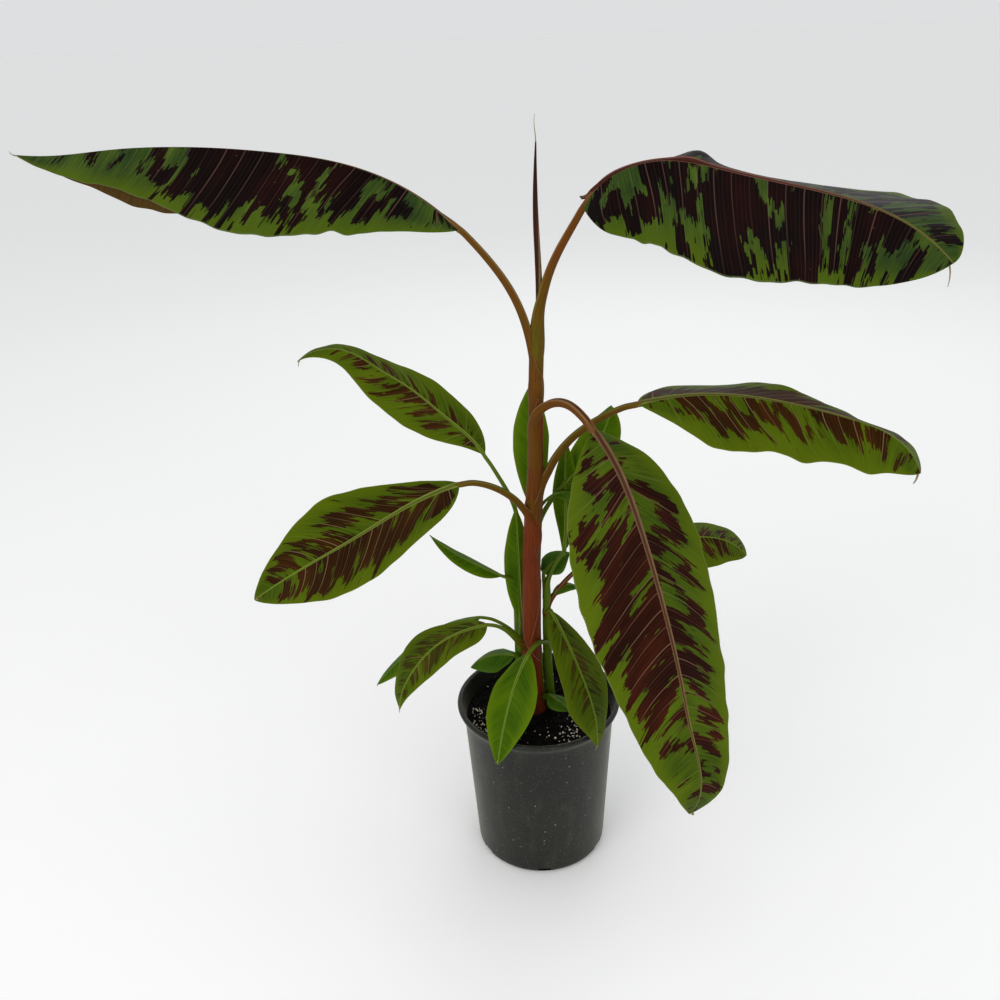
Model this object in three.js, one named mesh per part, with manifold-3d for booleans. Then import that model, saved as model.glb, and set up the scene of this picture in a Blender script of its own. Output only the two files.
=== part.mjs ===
// Young banana plant with red-blotched leaves, standing in a round nursery pot.
// Millimetres. The origin is the centre of the pot's underside, +Z is up,
// +X is the right of the photographed view and +Y points away from its viewer.

import * as THREE from "three";
import { mergeVertices } from "three/addons/utils/BufferGeometryUtils.js";
import Module from "manifold-3d";

const wasm = await Module();
wasm.setup();
const { Manifold, Mesh: SolidMesh } = wasm;

// Pot and growing mix
const POT_HEIGHT = 174;
const POT_RIM_RADIUS = 82.5;
const POT_MOUTH_RADIUS = 78;
const POT_NECK_RADIUS = 76;
const POT_BASE_RADIUS = 67;
const POT_CORNER = 7;
const POT_WALL = 2;
const POT_FLOOR = 3;
const RIM_DEPTH = 14;
const RIM_SWELL = 8;
const RIM_ROUND = 2;
const CORNER_BEVEL = 0.3;
const NOTCH_COUNT = 6;
const NOTCH_WIDTH = 14;
const NOTCH_HEIGHT = 4.5;
const SOIL_LEVEL = 160;
const SOIL_CROWN = 3;
const SOIL_CROWN_RADIUS = 34;
const ROUND_SIDES = 40;

// Clearance between neighbouring solids, blade thickness, and how finely limbs are cut
const GAP = 0.3;
const BLADE_THICKNESS = 1.6;
const KEEL_SHARE = 1.6;
const KEEL_TIP = 0.3;
const TIP_HALF = 0.8;
const WIDE_HALF = 30;
const STEM_SIDES = 10;
const PETIOLE_SIDES = 8;
const STEM_STEPS_PER_STATION = 2;
const PETIOLE_STEP = 18;
const PETIOLE_STEPS_LEAST = 3;
const BLADE_STEP = 26;
const BLADE_STEPS_LEAST = 6;
const BLADE_STEPS_MOST = 14;
const MERGE_DISTANCE = 0.0001;

const DEG = Math.PI / 180;

// Stems: each one rises from the mix along a few hand-set stations of
// centre x, centre y, height and radius.
const STEMS = {
  main_stem: [
    [-4, 0, 160.3, 10.5],
    [-5, 0, 200, 9.6],
    [-5, 0, 260, 9.1],
    [-3, 0, 330, 8.8],
    [0, 0, 390, 8.2],
    [3, 0, 440, 7.0],
    [4.5, 0, 500, 6.8],
    [6.5, 0, 548, 6.2],
  ],
  sucker_right: [
    [13, 3, 160.3, 5.4],
    [11.5, 3, 200, 4.4],
    [10, 4, 250, 4.0],
    [11, 5, 300, 3.6],
  ],
  sucker_left: [
    [-17, 16, 160.3, 5.6],
    [-17, 16, 220, 5.0],
    [-17, 18, 320, 4.0],
  ],
  sucker_back: [
    [1, 24, 160.3, 6.5],
    [0, 23, 250, 5.4],
    [2, 20, 342, 4.4],
  ],
};

// Leaves. Every leaf has a petiole that starts at foot and a blade that carries on
// from its end. climb and heading are angles in degrees at even steps along the part:
// climb is above the horizontal, heading is 0 along +X and 90 along +Y.
// half is the widest half width, widest its place along the blade, and the two
// blunt values shape the base and the tip. droop is how far the left and right
// halves hang below the blade's plane, curl adds to that towards the margin, and roll
// turns the blade about its midrib with the right half going down. leftReach and
// rightReach, where given, are shares of the half width at even steps that shape
// each margin. The angles and shares are set by eye in round steps.
const LEAVES = {
  high_left: {
    look: "maroon",
    foot: [5, 0, 505],
    petiole: { length: 165, climb: [90, 75, 55, 45], heading: [180, 180], radius: [4.8, 2.8] },
    blade: {
      length: 385, climb: [45, 25, 10, 5, 0, -5, 5], heading: [175, 175, 165], half: 67,
      widest: 0.42, blunt: [0.8, 1], left: [55, 60, 55], right: [55, 60, 70], curl: 8,
      roll: [-5, 5, 15], leftReach: [1.4, 1.05, 1.05, 0.85, 1],
      rightReach: [1, 0.95, 0.85, 1.15, 0.6],
    },
  },
  high_right: {
    look: "maroon",
    foot: [7, 0, 549],
    petiole: { length: 130, climb: [90, 75, 60, 60], heading: [0, -20], radius: [5.4, 3] },
    blade: {
      length: 305, climb: [50, 15, -10, -10, -10, -20, -40], heading: [-30, -30, -30, -45, -55],
      half: 75, widest: 0.45, blunt: [0.45, 0.5], left: [45, 35, 35, 30, 0], right: [30, 35, 20],
      curl: 8, roll: [20, 30, 30], leftReach: [1, 1.05, 1.2, 1.25, 0.7],
      rightReach: [1.5, 1, 1, 1, 1.3],
    },
  },
  mid_right: {
    look: "mottled",
    foot: [4, 0, 390],
    petiole: { length: 145, climb: [80, 70, 55, 40, 30, 20], heading: [0, -20], radius: [4.8, 2.8] },
    blade: {
      length: 255, climb: [15, 5, -5, -10, -20, -70], heading: [-5, -15, -20, -25, -30], half: 50,
      widest: 0.42, blunt: [0.6, 0.55], left: [10, 20, 5, 30, 15], right: [35, 35, 25], curl: 6,
      roll: [15, 15], leftReach: [1.5, 0.9, 0.6, 0.8, 1.5], rightReach: [0.6, 1.05, 0.9, 1.05, 1.4],
    },
  },
  front: {
    look: "maroon",
    foot: [0, -2, 443],
    petiole: {
      length: 115, climb: [85, 80, 50, 15, -30, -40], heading: [-100, -60, -40, -40, -45],
      radius: [5, 3.6],
    },
    blade: {
      length: 370, climb: [-25, -55, -65, -70, -75, -75, -120], heading: [-60, -55, -50, -45, -35],
      half: 70, widest: 0.45, blunt: [0.6, 0.85], left: [20, 10, 5, 0, -15], right: [25, 25, 10],
      curl: 8, roll: [10, 15, 25], leftReach: [1.1, 0.95, 0.8, 0.85, 1.3],
      rightReach: [1.25, 1.05, 0.95, 0.95, 1.35],
    },
  },
  upper_left: {
    look: "mottled",
    foot: [-15, 20, 310],
    petiole: { length: 130, climb: [90, 90, 65, 60], heading: [190, 170], radius: [3, 1.8] },
    blade: {
      length: 215, climb: [55, 40, 40, 30, 30, -5, -40], heading: [165, 165], half: 30,
      widest: 0.42, blunt: [0.75, 0.9], left: [25, 15], right: [0, 10], curl: 4, roll: [-30, -20],
      leftReach: [0.7, 1.05, 1.05, 0.8, 0.7], rightReach: [1.5, 1, 0.75, 0.5, 1],
    },
  },
  mid_left: {
    look: "mottled",
    foot: [-1, -4, 360],
    petiole: {
      length: 105, climb: [85, 70, 50, 35, 20, 0], heading: [-150, -165, -160], radius: [4.4, 2.6],
    },
    blade: {
      length: 205, climb: [-5, -20, -20, -30], heading: [-155, -155, -165], half: 45, widest: 0.5,
      blunt: [0.6, 0.7], left: [25, 15], right: [5, 0, 5], curl: 4, roll: [-35, -30],
      leftReach: [1.1, 0.8, 0.85, 0.95, 0.9], rightReach: [0.5, 0.8, 1.1, 1.15, 1.2],
    },
  },
  small_left: {
    look: "green",
    foot: [-19, 15, 298],
    petiole: { length: 22, climb: [60, 30], heading: [-130, -155], radius: [2.2, 1.6] },
    blade: {
      length: 90, climb: [30, 36, 38, 44, 52], heading: [-160, -165], half: 11, widest: 0.4,
      blunt: [0.7, 0.9], left: [25, 15], right: [25, 15], curl: 4, roll: [-30, -25],
    },
  },
  upright_back: {
    look: "green",
    foot: [1, 22, 336],
    petiole: { length: 38, climb: [88, 88], heading: [90, 90], radius: [3.2, 2.4] },
    blade: {
      length: 122, climb: [88, 85, 84, 86], heading: [95, 95, 80], half: 18, widest: 0.55,
      blunt: [0.7, 0.8], left: [15, 15], right: [15, 15], curl: 6, roll: [0, 0],
    },
  },
  upright_left: {
    look: "green",
    foot: [-15, 12, 226],
    petiole: { length: 32, climb: [80, 90], heading: [-90, -90], radius: [3.4, 2.4] },
    blade: {
      length: 122, climb: [88, 88, 84], heading: [110, 100], half: 14, widest: 0.5,
      blunt: [0.7, 0.8], left: [15, 15], right: [15, 15], curl: 6, roll: [0, 0],
    },
  },
  low_left: {
    look: "mottled",
    foot: [-9, -2, 226],
    petiole: { length: 70, climb: [70, 55, 55, 40, 20], heading: [-145, -155], radius: [2.8, 1.7] },
    blade: {
      length: 130, climb: [5, 0, -15, -35, -50, -65, -90], heading: [-150, -155, -160], half: 25,
      widest: 0.45, blunt: [0.6, 0.75], left: [15, 15], right: [20, 15], curl: 6, roll: [-35, -30],
      leftReach: [1.3, 0.8, 0.75, 0.7, 0.5], rightReach: [0.95, 0.75, 1.1, 1.1, 1.1],
    },
  },
  low_left_back: {
    look: "green",
    foot: [-9, 4, 224],
    petiole: { length: 74, climb: [80, 60, 48, 36, 14], heading: [-160, -168], radius: [2.4, 1.5] },
    blade: {
      length: 126, climb: [-8, -18, -28, -36, -44, -52], heading: [-170, -174], half: 18,
      widest: 0.45, blunt: [0.6, 0.75], left: [20, 15], right: [20, 15], curl: 6, roll: [-10, -10],
    },
  },
  base_left: {
    look: "dark",
    foot: [-12, 8, 209],
    petiole: { length: 14, climb: [60, 30], heading: [180, 160], radius: [2.4, 1.8] },
    blade: {
      length: 58, climb: [0, -14, -26, -40, -54], heading: [160, 158], half: 18, widest: 0.42,
      blunt: [0.6, 0.8], left: [30, 20], right: [30, 20], curl: 6, roll: [-20, -20],
    },
  },
  pot_front: {
    look: "green",
    foot: [9, 2, 229],
    petiole: { length: 42, climb: [75, 55, 26, -10, -34], heading: [-90, -126, -138], radius: [2.8, 2.0] },
    blade: {
      length: 110, climb: [-36, -42, -48, -48, -50, -54], heading: [-130, -120, -112, -106], half: 25,
      widest: 0.42, blunt: [0.7, 0.85], left: [16, 12], right: [16, 12], curl: 4, roll: [0, 0],
    },
  },
  pot_right: {
    look: "mottled",
    foot: [12, 2, 266],
    petiole: { length: 15, climb: [80, 85, 55, -30], heading: [-90, -70, -55], radius: [2.6, 1.9] },
    blade: {
      length: 145, climb: [-35, -40, -45, -50, -60, -80, -100], heading: [-60, -60], half: 27,
      widest: 0.5, blunt: [0.7, 0.75], left: [15, 15], right: [15, 15], curl: 4, roll: [0, 0],
      leftReach: [1, 1.05, 1.1, 1, 0.9], rightReach: [1.1, 0.8, 0.8, 1, 0.5],
    },
  },
  upright_right: {
    look: "green",
    foot: [3, 18, 334],
    petiole: { length: 74, climb: [90, 84, 64, 54, 50], heading: [10, 10], radius: [3.0, 2.0] },
    blade: {
      length: 88, climb: [46, 48, 52, 64, 84], heading: [14, 12, 30], half: 21, widest: 0.5,
      blunt: [0.7, 0.8], left: [10, 10], right: [20, 20], curl: 4, roll: [40, 40],
    },
  },
  upright_dark: {
    look: "dark",
    foot: [10, 6, 294],
    petiole: { length: 44, climb: [80, 64, 50], heading: [30, 10], radius: [2.6, 2.0] },
    blade: {
      length: 110, climb: [64, 84, 86, 80], heading: [60, 90, 60], half: 13, widest: 0.5,
      blunt: [0.7, 0.8], left: [20, 20], right: [20, 20], curl: 4, roll: [0, 0],
    },
  },
  back_right: {
    look: "mottled",
    foot: [11, 6, 272],
    petiole: { length: 86, climb: [68, 40, 25, 8], heading: [30, 25], radius: [2.8, 1.8] },
    blade: {
      length: 165, climb: [0, 0, 0, -5, -10, -30, -50], heading: [20, 15, 5], half: 28,
      widest: 0.55, blunt: [0.6, 0.45], left: [20, 15, 5], right: [25, 20], curl: 6,
      roll: [20, 20, 30], leftReach: [1, 1, 0.95, 1.1, 1.4], rightReach: [1, 1.05, 1.15, 1.2, 0.9],
    },
  },
  dark_mid: {
    look: "dark",
    foot: [9, 6, 290],
    petiole: { length: 22, climb: [88, 80], heading: [120, 100], radius: [2.2, 1.8] },
    blade: {
      length: 36, climb: [40, 20, 0], heading: [40, 30], half: 14, widest: 0.45,
      blunt: [0.6, 0.8], left: [20, 16], right: [30, 30], curl: 6, roll: [30, 30],
    },
  },
  tiny_right: {
    look: "dark",
    foot: [11, 6, 274],
    petiole: { length: 14, climb: [70, 60], heading: [20, 25], radius: [1.8, 1.3] },
    blade: {
      length: 36, climb: [55, 20, -20, -40], heading: [25, 20], half: 7, widest: 0.45,
      blunt: [0.6, 0.8], left: [20, 20], right: [25, 25], curl: 6, roll: [20, 20],
    },
  },
  tiny_upper: {
    look: "dark",
    foot: [3, 3, 380],
    petiole: { length: 24, climb: [64, 40, 20], heading: [25, 27], radius: [1.8, 1.3] },
    blade: {
      length: 32, climb: [10, -20, -40], heading: [28, 30], half: 9, widest: 0.5,
      blunt: [0.6, 0.8], left: [20, 20], right: [25, 25], curl: 6, roll: [20, 20],
    },
  },
  at_soil: {
    look: "dark",
    foot: [6, -5, 177],
    petiole: { length: 9, climb: [70, 30], heading: [-60, -50], radius: [2.0, 1.6] },
    blade: {
      length: 31, climb: [6, -12, -30], heading: [-50, -40], half: 12, widest: 0.5,
      blunt: [0.6, 0.8], left: [15, 15], right: [15, 15], curl: 4, roll: [0, 0],
    },
  },
};

// The rolled newest leaf, standing beside the petiole of the high right leaf
const SPEAR = {
  foot: [8, 1, 562],
  petiole: { length: 149, climb: [86, 92, 90, 87], heading: [0, 0], radius: [3.2, 2.8, 2.2, 1.0] },
};

// Value of an evenly spaced list at t from 0 to 1, eased through its entries.
function along(list, t) {
  const last = list.length - 1;
  const place = Math.min(Math.max(t, 0), 1) * last;
  const index = Math.min(Math.floor(place), last - 1);
  const u = place - index;
  const here = list[index];
  const next = list[index + 1];
  const before = index > 0 ? list[index - 1] : 2 * here - next;
  const after = index + 2 <= last ? list[index + 2] : 2 * next - here;
  const cubic = 3 * (here - next) + after - before;
  const square = 2 * before - 5 * here + 4 * next - after;
  return here + 0.5 * u * (next - before + u * (square + u * cubic));
}

// Stations along a path given by its length and its climb and heading angles.
// Each has its place, its direction ahead, and the level right and the top across it.
function walk(start, part, steps) {
  const fine = 8;
  const step = part.length / (steps * fine);
  const spot = start.clone();
  const stations = [];
  for (let i = 0; i <= steps * fine; i += 1) {
    const t = i / (steps * fine);
    const climb = along(part.climb, t) * DEG;
    const heading = along(part.heading, t) * DEG;
    const ahead = new THREE.Vector3(
      Math.cos(climb) * Math.cos(heading),
      Math.cos(climb) * Math.sin(heading),
      Math.sin(climb),
    );
    if (i % fine === 0) {
      const right = new THREE.Vector3(Math.sin(heading), -Math.cos(heading), 0);
      const top = right.clone().cross(ahead);
      stations.push({ t, spot: spot.clone(), ahead, right, top });
    }
    spot.addScaledVector(ahead, step);
  }
  return stations;
}

// Solid from a closed geometry whose faces point out.
function toSolid(geometry) {
  geometry.deleteAttribute("normal");
  geometry.deleteAttribute("uv");
  const merged = mergeVertices(geometry, MERGE_DISTANCE);
  return new Manifold(
    new SolidMesh({
      numProp: 3,
      vertProperties: new Float32Array(merged.getAttribute("position").array),
      triVerts: new Uint32Array(merged.index.array),
    }),
  );
}

// Closed skin over rings of points. A round ring ends in a fan, and a flat one,
// whose first half is the upper face and second half the lower, ends in a strip.
function skin(rings, flat) {
  const count = rings[0].length;
  const end = (rings.length - 1) * count;
  const index = [];
  for (let i = 0; i < end; i += count) {
    for (let j = 0; j < count; j += 1) {
      const a = i + j;
      const b = i + ((j + 1) % count);
      index.push(a, b, b + count, a, b + count, a + count);
    }
  }
  if (flat) {
    for (let j = 0; j + 1 < count / 2; j += 1) {
      const mate = count - 1 - j;
      index.push(j, mate, mate - 1, j, mate - 1, j + 1);
      index.push(end + j, end + mate - 1, end + mate, end + j, end + j + 1, end + mate - 1);
    }
  } else {
    for (let j = 1; j + 1 < count; j += 1) {
      index.push(0, j + 1, j);
      index.push(end, end + j, end + j + 1);
    }
  }
  const geometry = new THREE.BufferGeometry().setFromPoints(rings.flat());
  geometry.setIndex(index);
  return toSolid(geometry);
}

// Round limb through stations that each carry a radius.
function limb(stations, sides, grow) {
  const rings = stations.map(({ spot, right, top, radius }) => {
    const ring = [];
    for (let j = 0; j < sides; j += 1) {
      const angle = (2 * Math.PI * j) / sides;
      const point = spot.clone();
      point.addScaledVector(right, Math.cos(angle) * (radius + grow));
      point.addScaledVector(top, -Math.sin(angle) * (radius + grow));
      ring.push(point);
    }
    return ring;
  });
  return skin(rings, false);
}

function stemSolid(rows, grow) {
  const curve = new THREE.CatmullRomCurve3(rows.map(([x, y, z]) => new THREE.Vector3(x, y, z)));
  const radii = rows.map((row) => row[3]);
  const steps = rows.length * STEM_STEPS_PER_STATION;
  const stations = [];
  for (let i = 0; i <= steps; i += 1) {
    stations.push({
      spot: curve.getPoint(i / steps),
      right: new THREE.Vector3(1, 0, 0),
      top: new THREE.Vector3(0, -1, 0),
      radius: along(radii, i / steps),
    });
  }
  stations[0].spot.z -= grow;
  stations[steps].spot.z += grow;
  return limb(stations, STEM_SIDES, grow);
}

function petioleStations({ foot, petiole }) {
  const steps = Math.max(PETIOLE_STEPS_LEAST, Math.round(petiole.length / PETIOLE_STEP));
  const stations = walk(new THREE.Vector3(...foot), petiole, steps);
  for (const station of stations) station.radius = along(petiole.radius, station.t);
  return stations;
}

// Half width of a blade at t along it: a quarter sine from the base to the widest
// place and another down to the tip, each raised to its blunt value.
function bladeHalf(blade, t) {
  const beforeWidest = t < blade.widest;
  const rise = beforeWidest ? t / blade.widest : (1 - t) / (1 - blade.widest);
  const power = blade.blunt[beforeWidest ? 0 : 1];
  return blade.half * Math.sin((Math.PI / 2) * Math.max(0, rise)) ** power;
}

// One half of a blade's cross-section, from the midrib out to the margin, as pairs of
// an upper and a lower point. hand is -1 for the left half and 1 for the right.
function halfSection(blade, t, hand, middle, side, up, half, keel, grow) {
  const folds = blade.half > WIDE_HALF ? 3 : 2;
  const rest = along(hand < 0 ? blade.left : blade.right, t);
  const reach = middle.clone();
  const pairs = [];
  for (let k = 0; k <= folds; k += 1) {
    const fall = (rest + (blade.curl * k) / folds) * DEG;
    const face = up.clone();
    if (k > 0) {
      reach.addScaledVector(side, (hand * Math.cos(fall) * half) / folds);
      reach.addScaledVector(up, (-Math.sin(fall) * half) / folds);
      face.multiplyScalar(Math.cos(fall)).addScaledVector(side, hand * Math.sin(fall));
    }
    const depth = BLADE_THICKNESS + (k === 0 ? keel : 0);
    const over = reach.clone().addScaledVector(face, grow);
    const under = reach.clone().addScaledVector(face, -depth - grow);
    pairs.push([over, under]);
  }
  return pairs;
}

function bladeSolid(leaf, grow) {
  const { blade } = leaf;
  const end = petioleStations(leaf).at(-1);
  const start = end.spot.clone().addScaledVector(end.ahead, GAP);
  const wanted = Math.round(blade.length / BLADE_STEP);
  const steps = Math.max(BLADE_STEPS_LEAST, Math.min(BLADE_STEPS_MOST, wanted));
  const rings = walk(start, blade, steps).map(({ t, spot, right: level, top }) => {
    const turn = along(blade.roll, t) * DEG;
    const side = level.clone().multiplyScalar(Math.cos(turn)).addScaledVector(top, -Math.sin(turn));
    const up = top.clone().multiplyScalar(Math.cos(turn)).addScaledVector(level, Math.sin(turn));
    const least = along([end.radius, TIP_HALF], t);
    const keel = along([end.radius * KEEL_SHARE, KEEL_TIP], t);
    const reachOf = (shares = [1, 1]) => Math.max(least, bladeHalf(blade, t) * along(shares, t)) + grow;
    const left = reachOf(blade.leftReach);
    const right = reachOf(blade.rightReach);
    const leftPairs = halfSection(blade, t, -1, spot, side, up, left, keel, grow).reverse();
    const rightPairs = halfSection(blade, t, 1, spot, side, up, right, keel, grow).slice(1);
    const pairs = [...leftPairs, ...rightPairs];
    const lower = pairs.map((pair) => pair[1]).reverse();
    return [...pairs.map((pair) => pair[0]), ...lower];
  });
  return skin(rings, true);
}

// Revolved solid from a closed outline of radius and height pairs.
function revolved(outline) {
  const points = outline.map(([radius, height]) => new THREE.Vector2(radius, height));
  const geometry = new THREE.LatheGeometry(points, ROUND_SIDES);
  geometry.rotateX(Math.PI / 2);
  return toSolid(geometry);
}

// Radius of the pot's outer wall at a height between its corner and its neck.
function wallRadius(height) {
  const share = (height - POT_CORNER) / (POT_HEIGHT - RIM_DEPTH - POT_CORNER);
  return POT_BASE_RADIUS + (POT_NECK_RADIUS - POT_BASE_RADIUS) * share;
}

// Tapered pot with a rolled rim, a rounded foot and drain notches through that foot.
function potSolid() {
  const neck = POT_HEIGHT - RIM_DEPTH;
  let pot = revolved([
    [0, 0],
    [POT_BASE_RADIUS - POT_CORNER, 0],
    [POT_BASE_RADIUS - CORNER_BEVEL * POT_CORNER, CORNER_BEVEL * POT_CORNER],
    [POT_BASE_RADIUS, POT_CORNER],
    [POT_NECK_RADIUS, neck],
    [POT_RIM_RADIUS - 0.75 * RIM_ROUND, neck + 0.625 * RIM_SWELL],
    [POT_RIM_RADIUS, neck + RIM_SWELL],
    [POT_RIM_RADIUS, POT_HEIGHT - RIM_ROUND],
    [POT_RIM_RADIUS - RIM_ROUND, POT_HEIGHT],
    [POT_MOUTH_RADIUS + 0.5 * RIM_ROUND, POT_HEIGHT],
    [POT_MOUTH_RADIUS, POT_HEIGHT - 0.75 * RIM_ROUND],
    [POT_NECK_RADIUS - POT_WALL, neck],
    [wallRadius(POT_CORNER + 3) - POT_WALL, POT_CORNER + 3],
    [POT_BASE_RADIUS - POT_CORNER - 1, POT_FLOOR],
    [0, POT_FLOOR],
  ]);
  for (let i = 0; i < NOTCH_COUNT; i += 1) {
    const notch = new THREE.BoxGeometry(2 * POT_CORNER, NOTCH_WIDTH, 2 * NOTCH_HEIGHT);
    notch.translate(POT_BASE_RADIUS, 0, 0);
    notch.rotateZ(-Math.PI / 2 + (2 * Math.PI * i) / NOTCH_COUNT);
    pot = pot.subtract(toSolid(notch));
  }
  return pot;
}

function soilSolid() {
  const inside = (height) => wallRadius(height) - POT_WALL - GAP - 0.1;
  const shoulder = SOIL_LEVEL - SOIL_CROWN;
  return revolved([
    [0, POT_FLOOR + GAP],
    [POT_BASE_RADIUS - POT_CORNER - 2, POT_FLOOR + GAP],
    [inside(POT_CORNER + 4), POT_CORNER + 4],
    [inside(shoulder), shoulder],
    [SOIL_CROWN_RADIUS, SOIL_LEVEL],
    [0, SOIL_LEVEL],
  ]);
}

// Colours and roughness of the finishes
const LOOKS = {
  pot: [0x3a3d38, 0.4],
  soil: [0x17120e, 0.95],
  main_stem: [0x6b2f22, 0.45],
  sucker: [0x6f8f3a, 0.5],
  spear: [0x3a1a18, 0.5],
  petiole: [0x6a4a26, 0.45],
  maroon: [0x3a1c16, 0.45],
  mottled: [0x3f4a1c, 0.5],
  green: [0x4f7d22, 0.5],
  dark: [0x2f5a22, 0.5],
};

const plant = new THREE.Group();
plant.name = "potted_banana_plant";

// Adds a solid as a mesh. A cut can leave crumbs, so only its largest body is kept.
function addMesh(name, solid, look) {
  const body = solid.decompose().sort((a, b) => b.volume() - a.volume())[0];
  const mesh = body.getMesh();
  const geometry = new THREE.BufferGeometry();
  const positions = new Float32Array(mesh.vertProperties);
  geometry.setAttribute("position", new THREE.BufferAttribute(positions, 3));
  geometry.setIndex(new THREE.BufferAttribute(new Uint32Array(mesh.triVerts), 1));
  geometry.computeVertexNormals();
  const [color, roughness] = LOOKS[look];
  const material = new THREE.MeshStandardMaterial({ color, roughness, metalness: 0 });
  const node = new THREE.Mesh(geometry, material);
  node.name = name;
  plant.add(node);
}

// Each stem, petiole and blade is cleared of the earlier ones with a gap all round.
const grownSolids = [];
function addCleared(name, look, make) {
  const cleared = grownSolids.reduce((solid, other) => solid.subtract(other), make(0));
  grownSolids.push(make(GAP));
  addMesh(name, cleared, look);
}

addMesh("pot", potSolid(), "pot");
addMesh("soil", soilSolid(), "soil");
for (const [name, rows] of Object.entries(STEMS)) {
  const look = name === "main_stem" ? "main_stem" : "sucker";
  addCleared(name, look, (grow) => stemSolid(rows, grow));
}
for (const [name, leaf] of Object.entries(LEAVES)) {
  addCleared(`petiole_${name}`, "petiole", (grow) => limb(petioleStations(leaf), PETIOLE_SIDES, grow));
  addCleared(`blade_${name}`, leaf.look, (grow) => bladeSolid(leaf, grow));
}
addCleared("spear", "spear", (grow) => limb(petioleStations(SPEAR), PETIOLE_SIDES, grow));

export default plant;
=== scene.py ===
import math

import bmesh
import bpy
import numpy as np
from mathutils import Matrix, Vector, noise


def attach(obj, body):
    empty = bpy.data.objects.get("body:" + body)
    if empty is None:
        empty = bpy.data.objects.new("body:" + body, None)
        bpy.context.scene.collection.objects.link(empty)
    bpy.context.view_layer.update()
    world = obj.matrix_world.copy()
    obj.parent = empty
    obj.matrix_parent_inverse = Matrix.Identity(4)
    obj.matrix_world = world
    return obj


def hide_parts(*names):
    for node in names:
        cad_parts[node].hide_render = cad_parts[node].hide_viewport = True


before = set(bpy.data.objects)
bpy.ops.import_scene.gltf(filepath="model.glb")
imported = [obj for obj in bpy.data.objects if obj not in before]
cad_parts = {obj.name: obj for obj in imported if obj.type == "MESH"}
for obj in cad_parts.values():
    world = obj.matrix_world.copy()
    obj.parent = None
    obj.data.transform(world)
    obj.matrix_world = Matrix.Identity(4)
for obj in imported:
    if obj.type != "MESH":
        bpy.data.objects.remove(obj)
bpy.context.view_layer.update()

# Looks of the potted banana plant. Shapes are worked out in millimetres in the
# frame of the CAD part and turned into metres when a mesh is made.
MM = 0.001
CIRCLE = 2 * math.pi

# Camera of the photograph: its place, its pitch and roll, and its focal length
# as a share of the picture's width
CAMERA_PLACE = (-31.1, -856.0, 796.0)
CAMERA_PITCH = 25.0
CAMERA_ROLL = 2.26
FOCAL_SHARE = 1.017
SENSOR = 36.0

# Stage: the soft square lights, each with its place, size, power and tint, and the
# place that they are aimed at, in metres
LIGHTS = [
    ("key", (-1.5, -1.9, 1.9), 1.6, 20, (1.0, 0.98, 0.95)),
    ("fill", (1.1, -2.1, 1.2), 1.8, 12, (0.95, 0.98, 1.0)),
    ("back", (0.6, 2.0, 1.9), 1.6, 7, (1.0, 1.0, 1.0)),
]
LIGHTS_AIM = (0, 0, 0.4)
SURROUND = 0.84
FLOOR_RADIUS = 90

# Pot. RIM_FLARE goes out from the neck and up, RIM_SKIRT in from the rim and down.
POT_HEIGHT = 174
POT_RIM_RADIUS = 82.5
POT_MOUTH_RADIUS = 78
POT_NECK_RADIUS = 76
POT_BASE_RADIUS = 67
POT_CORNER = 7
POT_WALL = 2
POT_FLOOR = 3
POT_SIDES = 192
POT_CREASE = 38
UNDERSIDE_RISE = 0.8
STANDING_RING = 8
RIM_DEPTH = 14
RIM_BEAD = 2.7
RIM_FLARE = [(0.8, 3), (2.6, 6)]
RIM_SKIRT = [(2.4, 6.2), (1.0, 5.6)]
NOTCH_COUNT = 6
NOTCH_WIDTH = 14
NOTCH_FOOT = 1.1
NOTCH_HEIGHT = 7
NOTCH_ROUND = 2

# Growing mix: its roughness as pairs of fineness and height, and the centre x, centre y
# and spread of each cluster of perlite that shows at the left and at the front right
SOIL_LEVEL = 160
SOIL_CROWN = 3
SOIL_CROWN_RADIUS = 34
SOIL_SINK = 0.3
SOIL_ROUGHNESS = [(0.09, 1.1), (0.33, 0.8), (0.9, 0.4)]
SOIL_SIDES = 260
SOIL_RINGS = 74
CRUMB_COUNT = 1500
PERLITE_COUNT = 240
PERLITE_CLUSTERS = [(-64, -4, 5), (-60, -22, 6), (-55, -34, 4), (28, -52, 9), (36, -40, 8), (10, 55, 10)]
CLUSTER_SHARE = 0.62

# Blades: clearance, tip and folds of the CAD solids that the surfaces follow, thickness
# of the leaf tissue and how far the crest and the lobe at the base run
GAP = 0.3
TIP_HALF = 0.5
WIDE_HALF = 30
TISSUE = 0.55
CREST_RUN = 18
LOBE_RUN = 40
LARGE_HALF = 70

# Relief of a blade: half widths of the rib and depths of its keel as shares of the
# stalk's radius down to their own ends at the tip, the shape of the rib as shares of
# its half width, the swells and ridges of the side veins, and waves as pairs of length
# and height
RIB_SHARES = [0.95, 0.6, 0.42]
RIB_TIP = 0.45
RIB_MOST = 0.96
KEEL_SHARES = [1.5, 1.0, 0.6]
KEEL_TIP = 0.15
RIB_CHANNEL = 0.32
RIB_LIP = 0.1
RIB_CREST = 0.62
KEEL_WIDTH = 1.12
VEIN_SWELL = 0.028
VEIN_RIDGE = 0.16
VEIN_WIDTH = 0.8
MARGIN_SHARE = 0.008
MARGIN_WAVES = [(41, 1), (23, 0.7)]
FLUTTER_WAVES = [(97, 0.7), (53, 0.6), (29, 0.4)]
SAG_WAVES = [(140, 0.9), (75, 0.7)]

# Mesh of a blade
RIB_COLUMNS = 5
COLUMN_STEP = 2.4
LEAST_COLUMNS = 9
MOST_COLUMNS = 30
ROW_STEP = 1.35
ROW_CROWDING = 5
CROWDED_RUN = 5
LEAST_ROWS = 40
LEAF_CREASE = 55
MARGIN_STEPS = 4000

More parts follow.
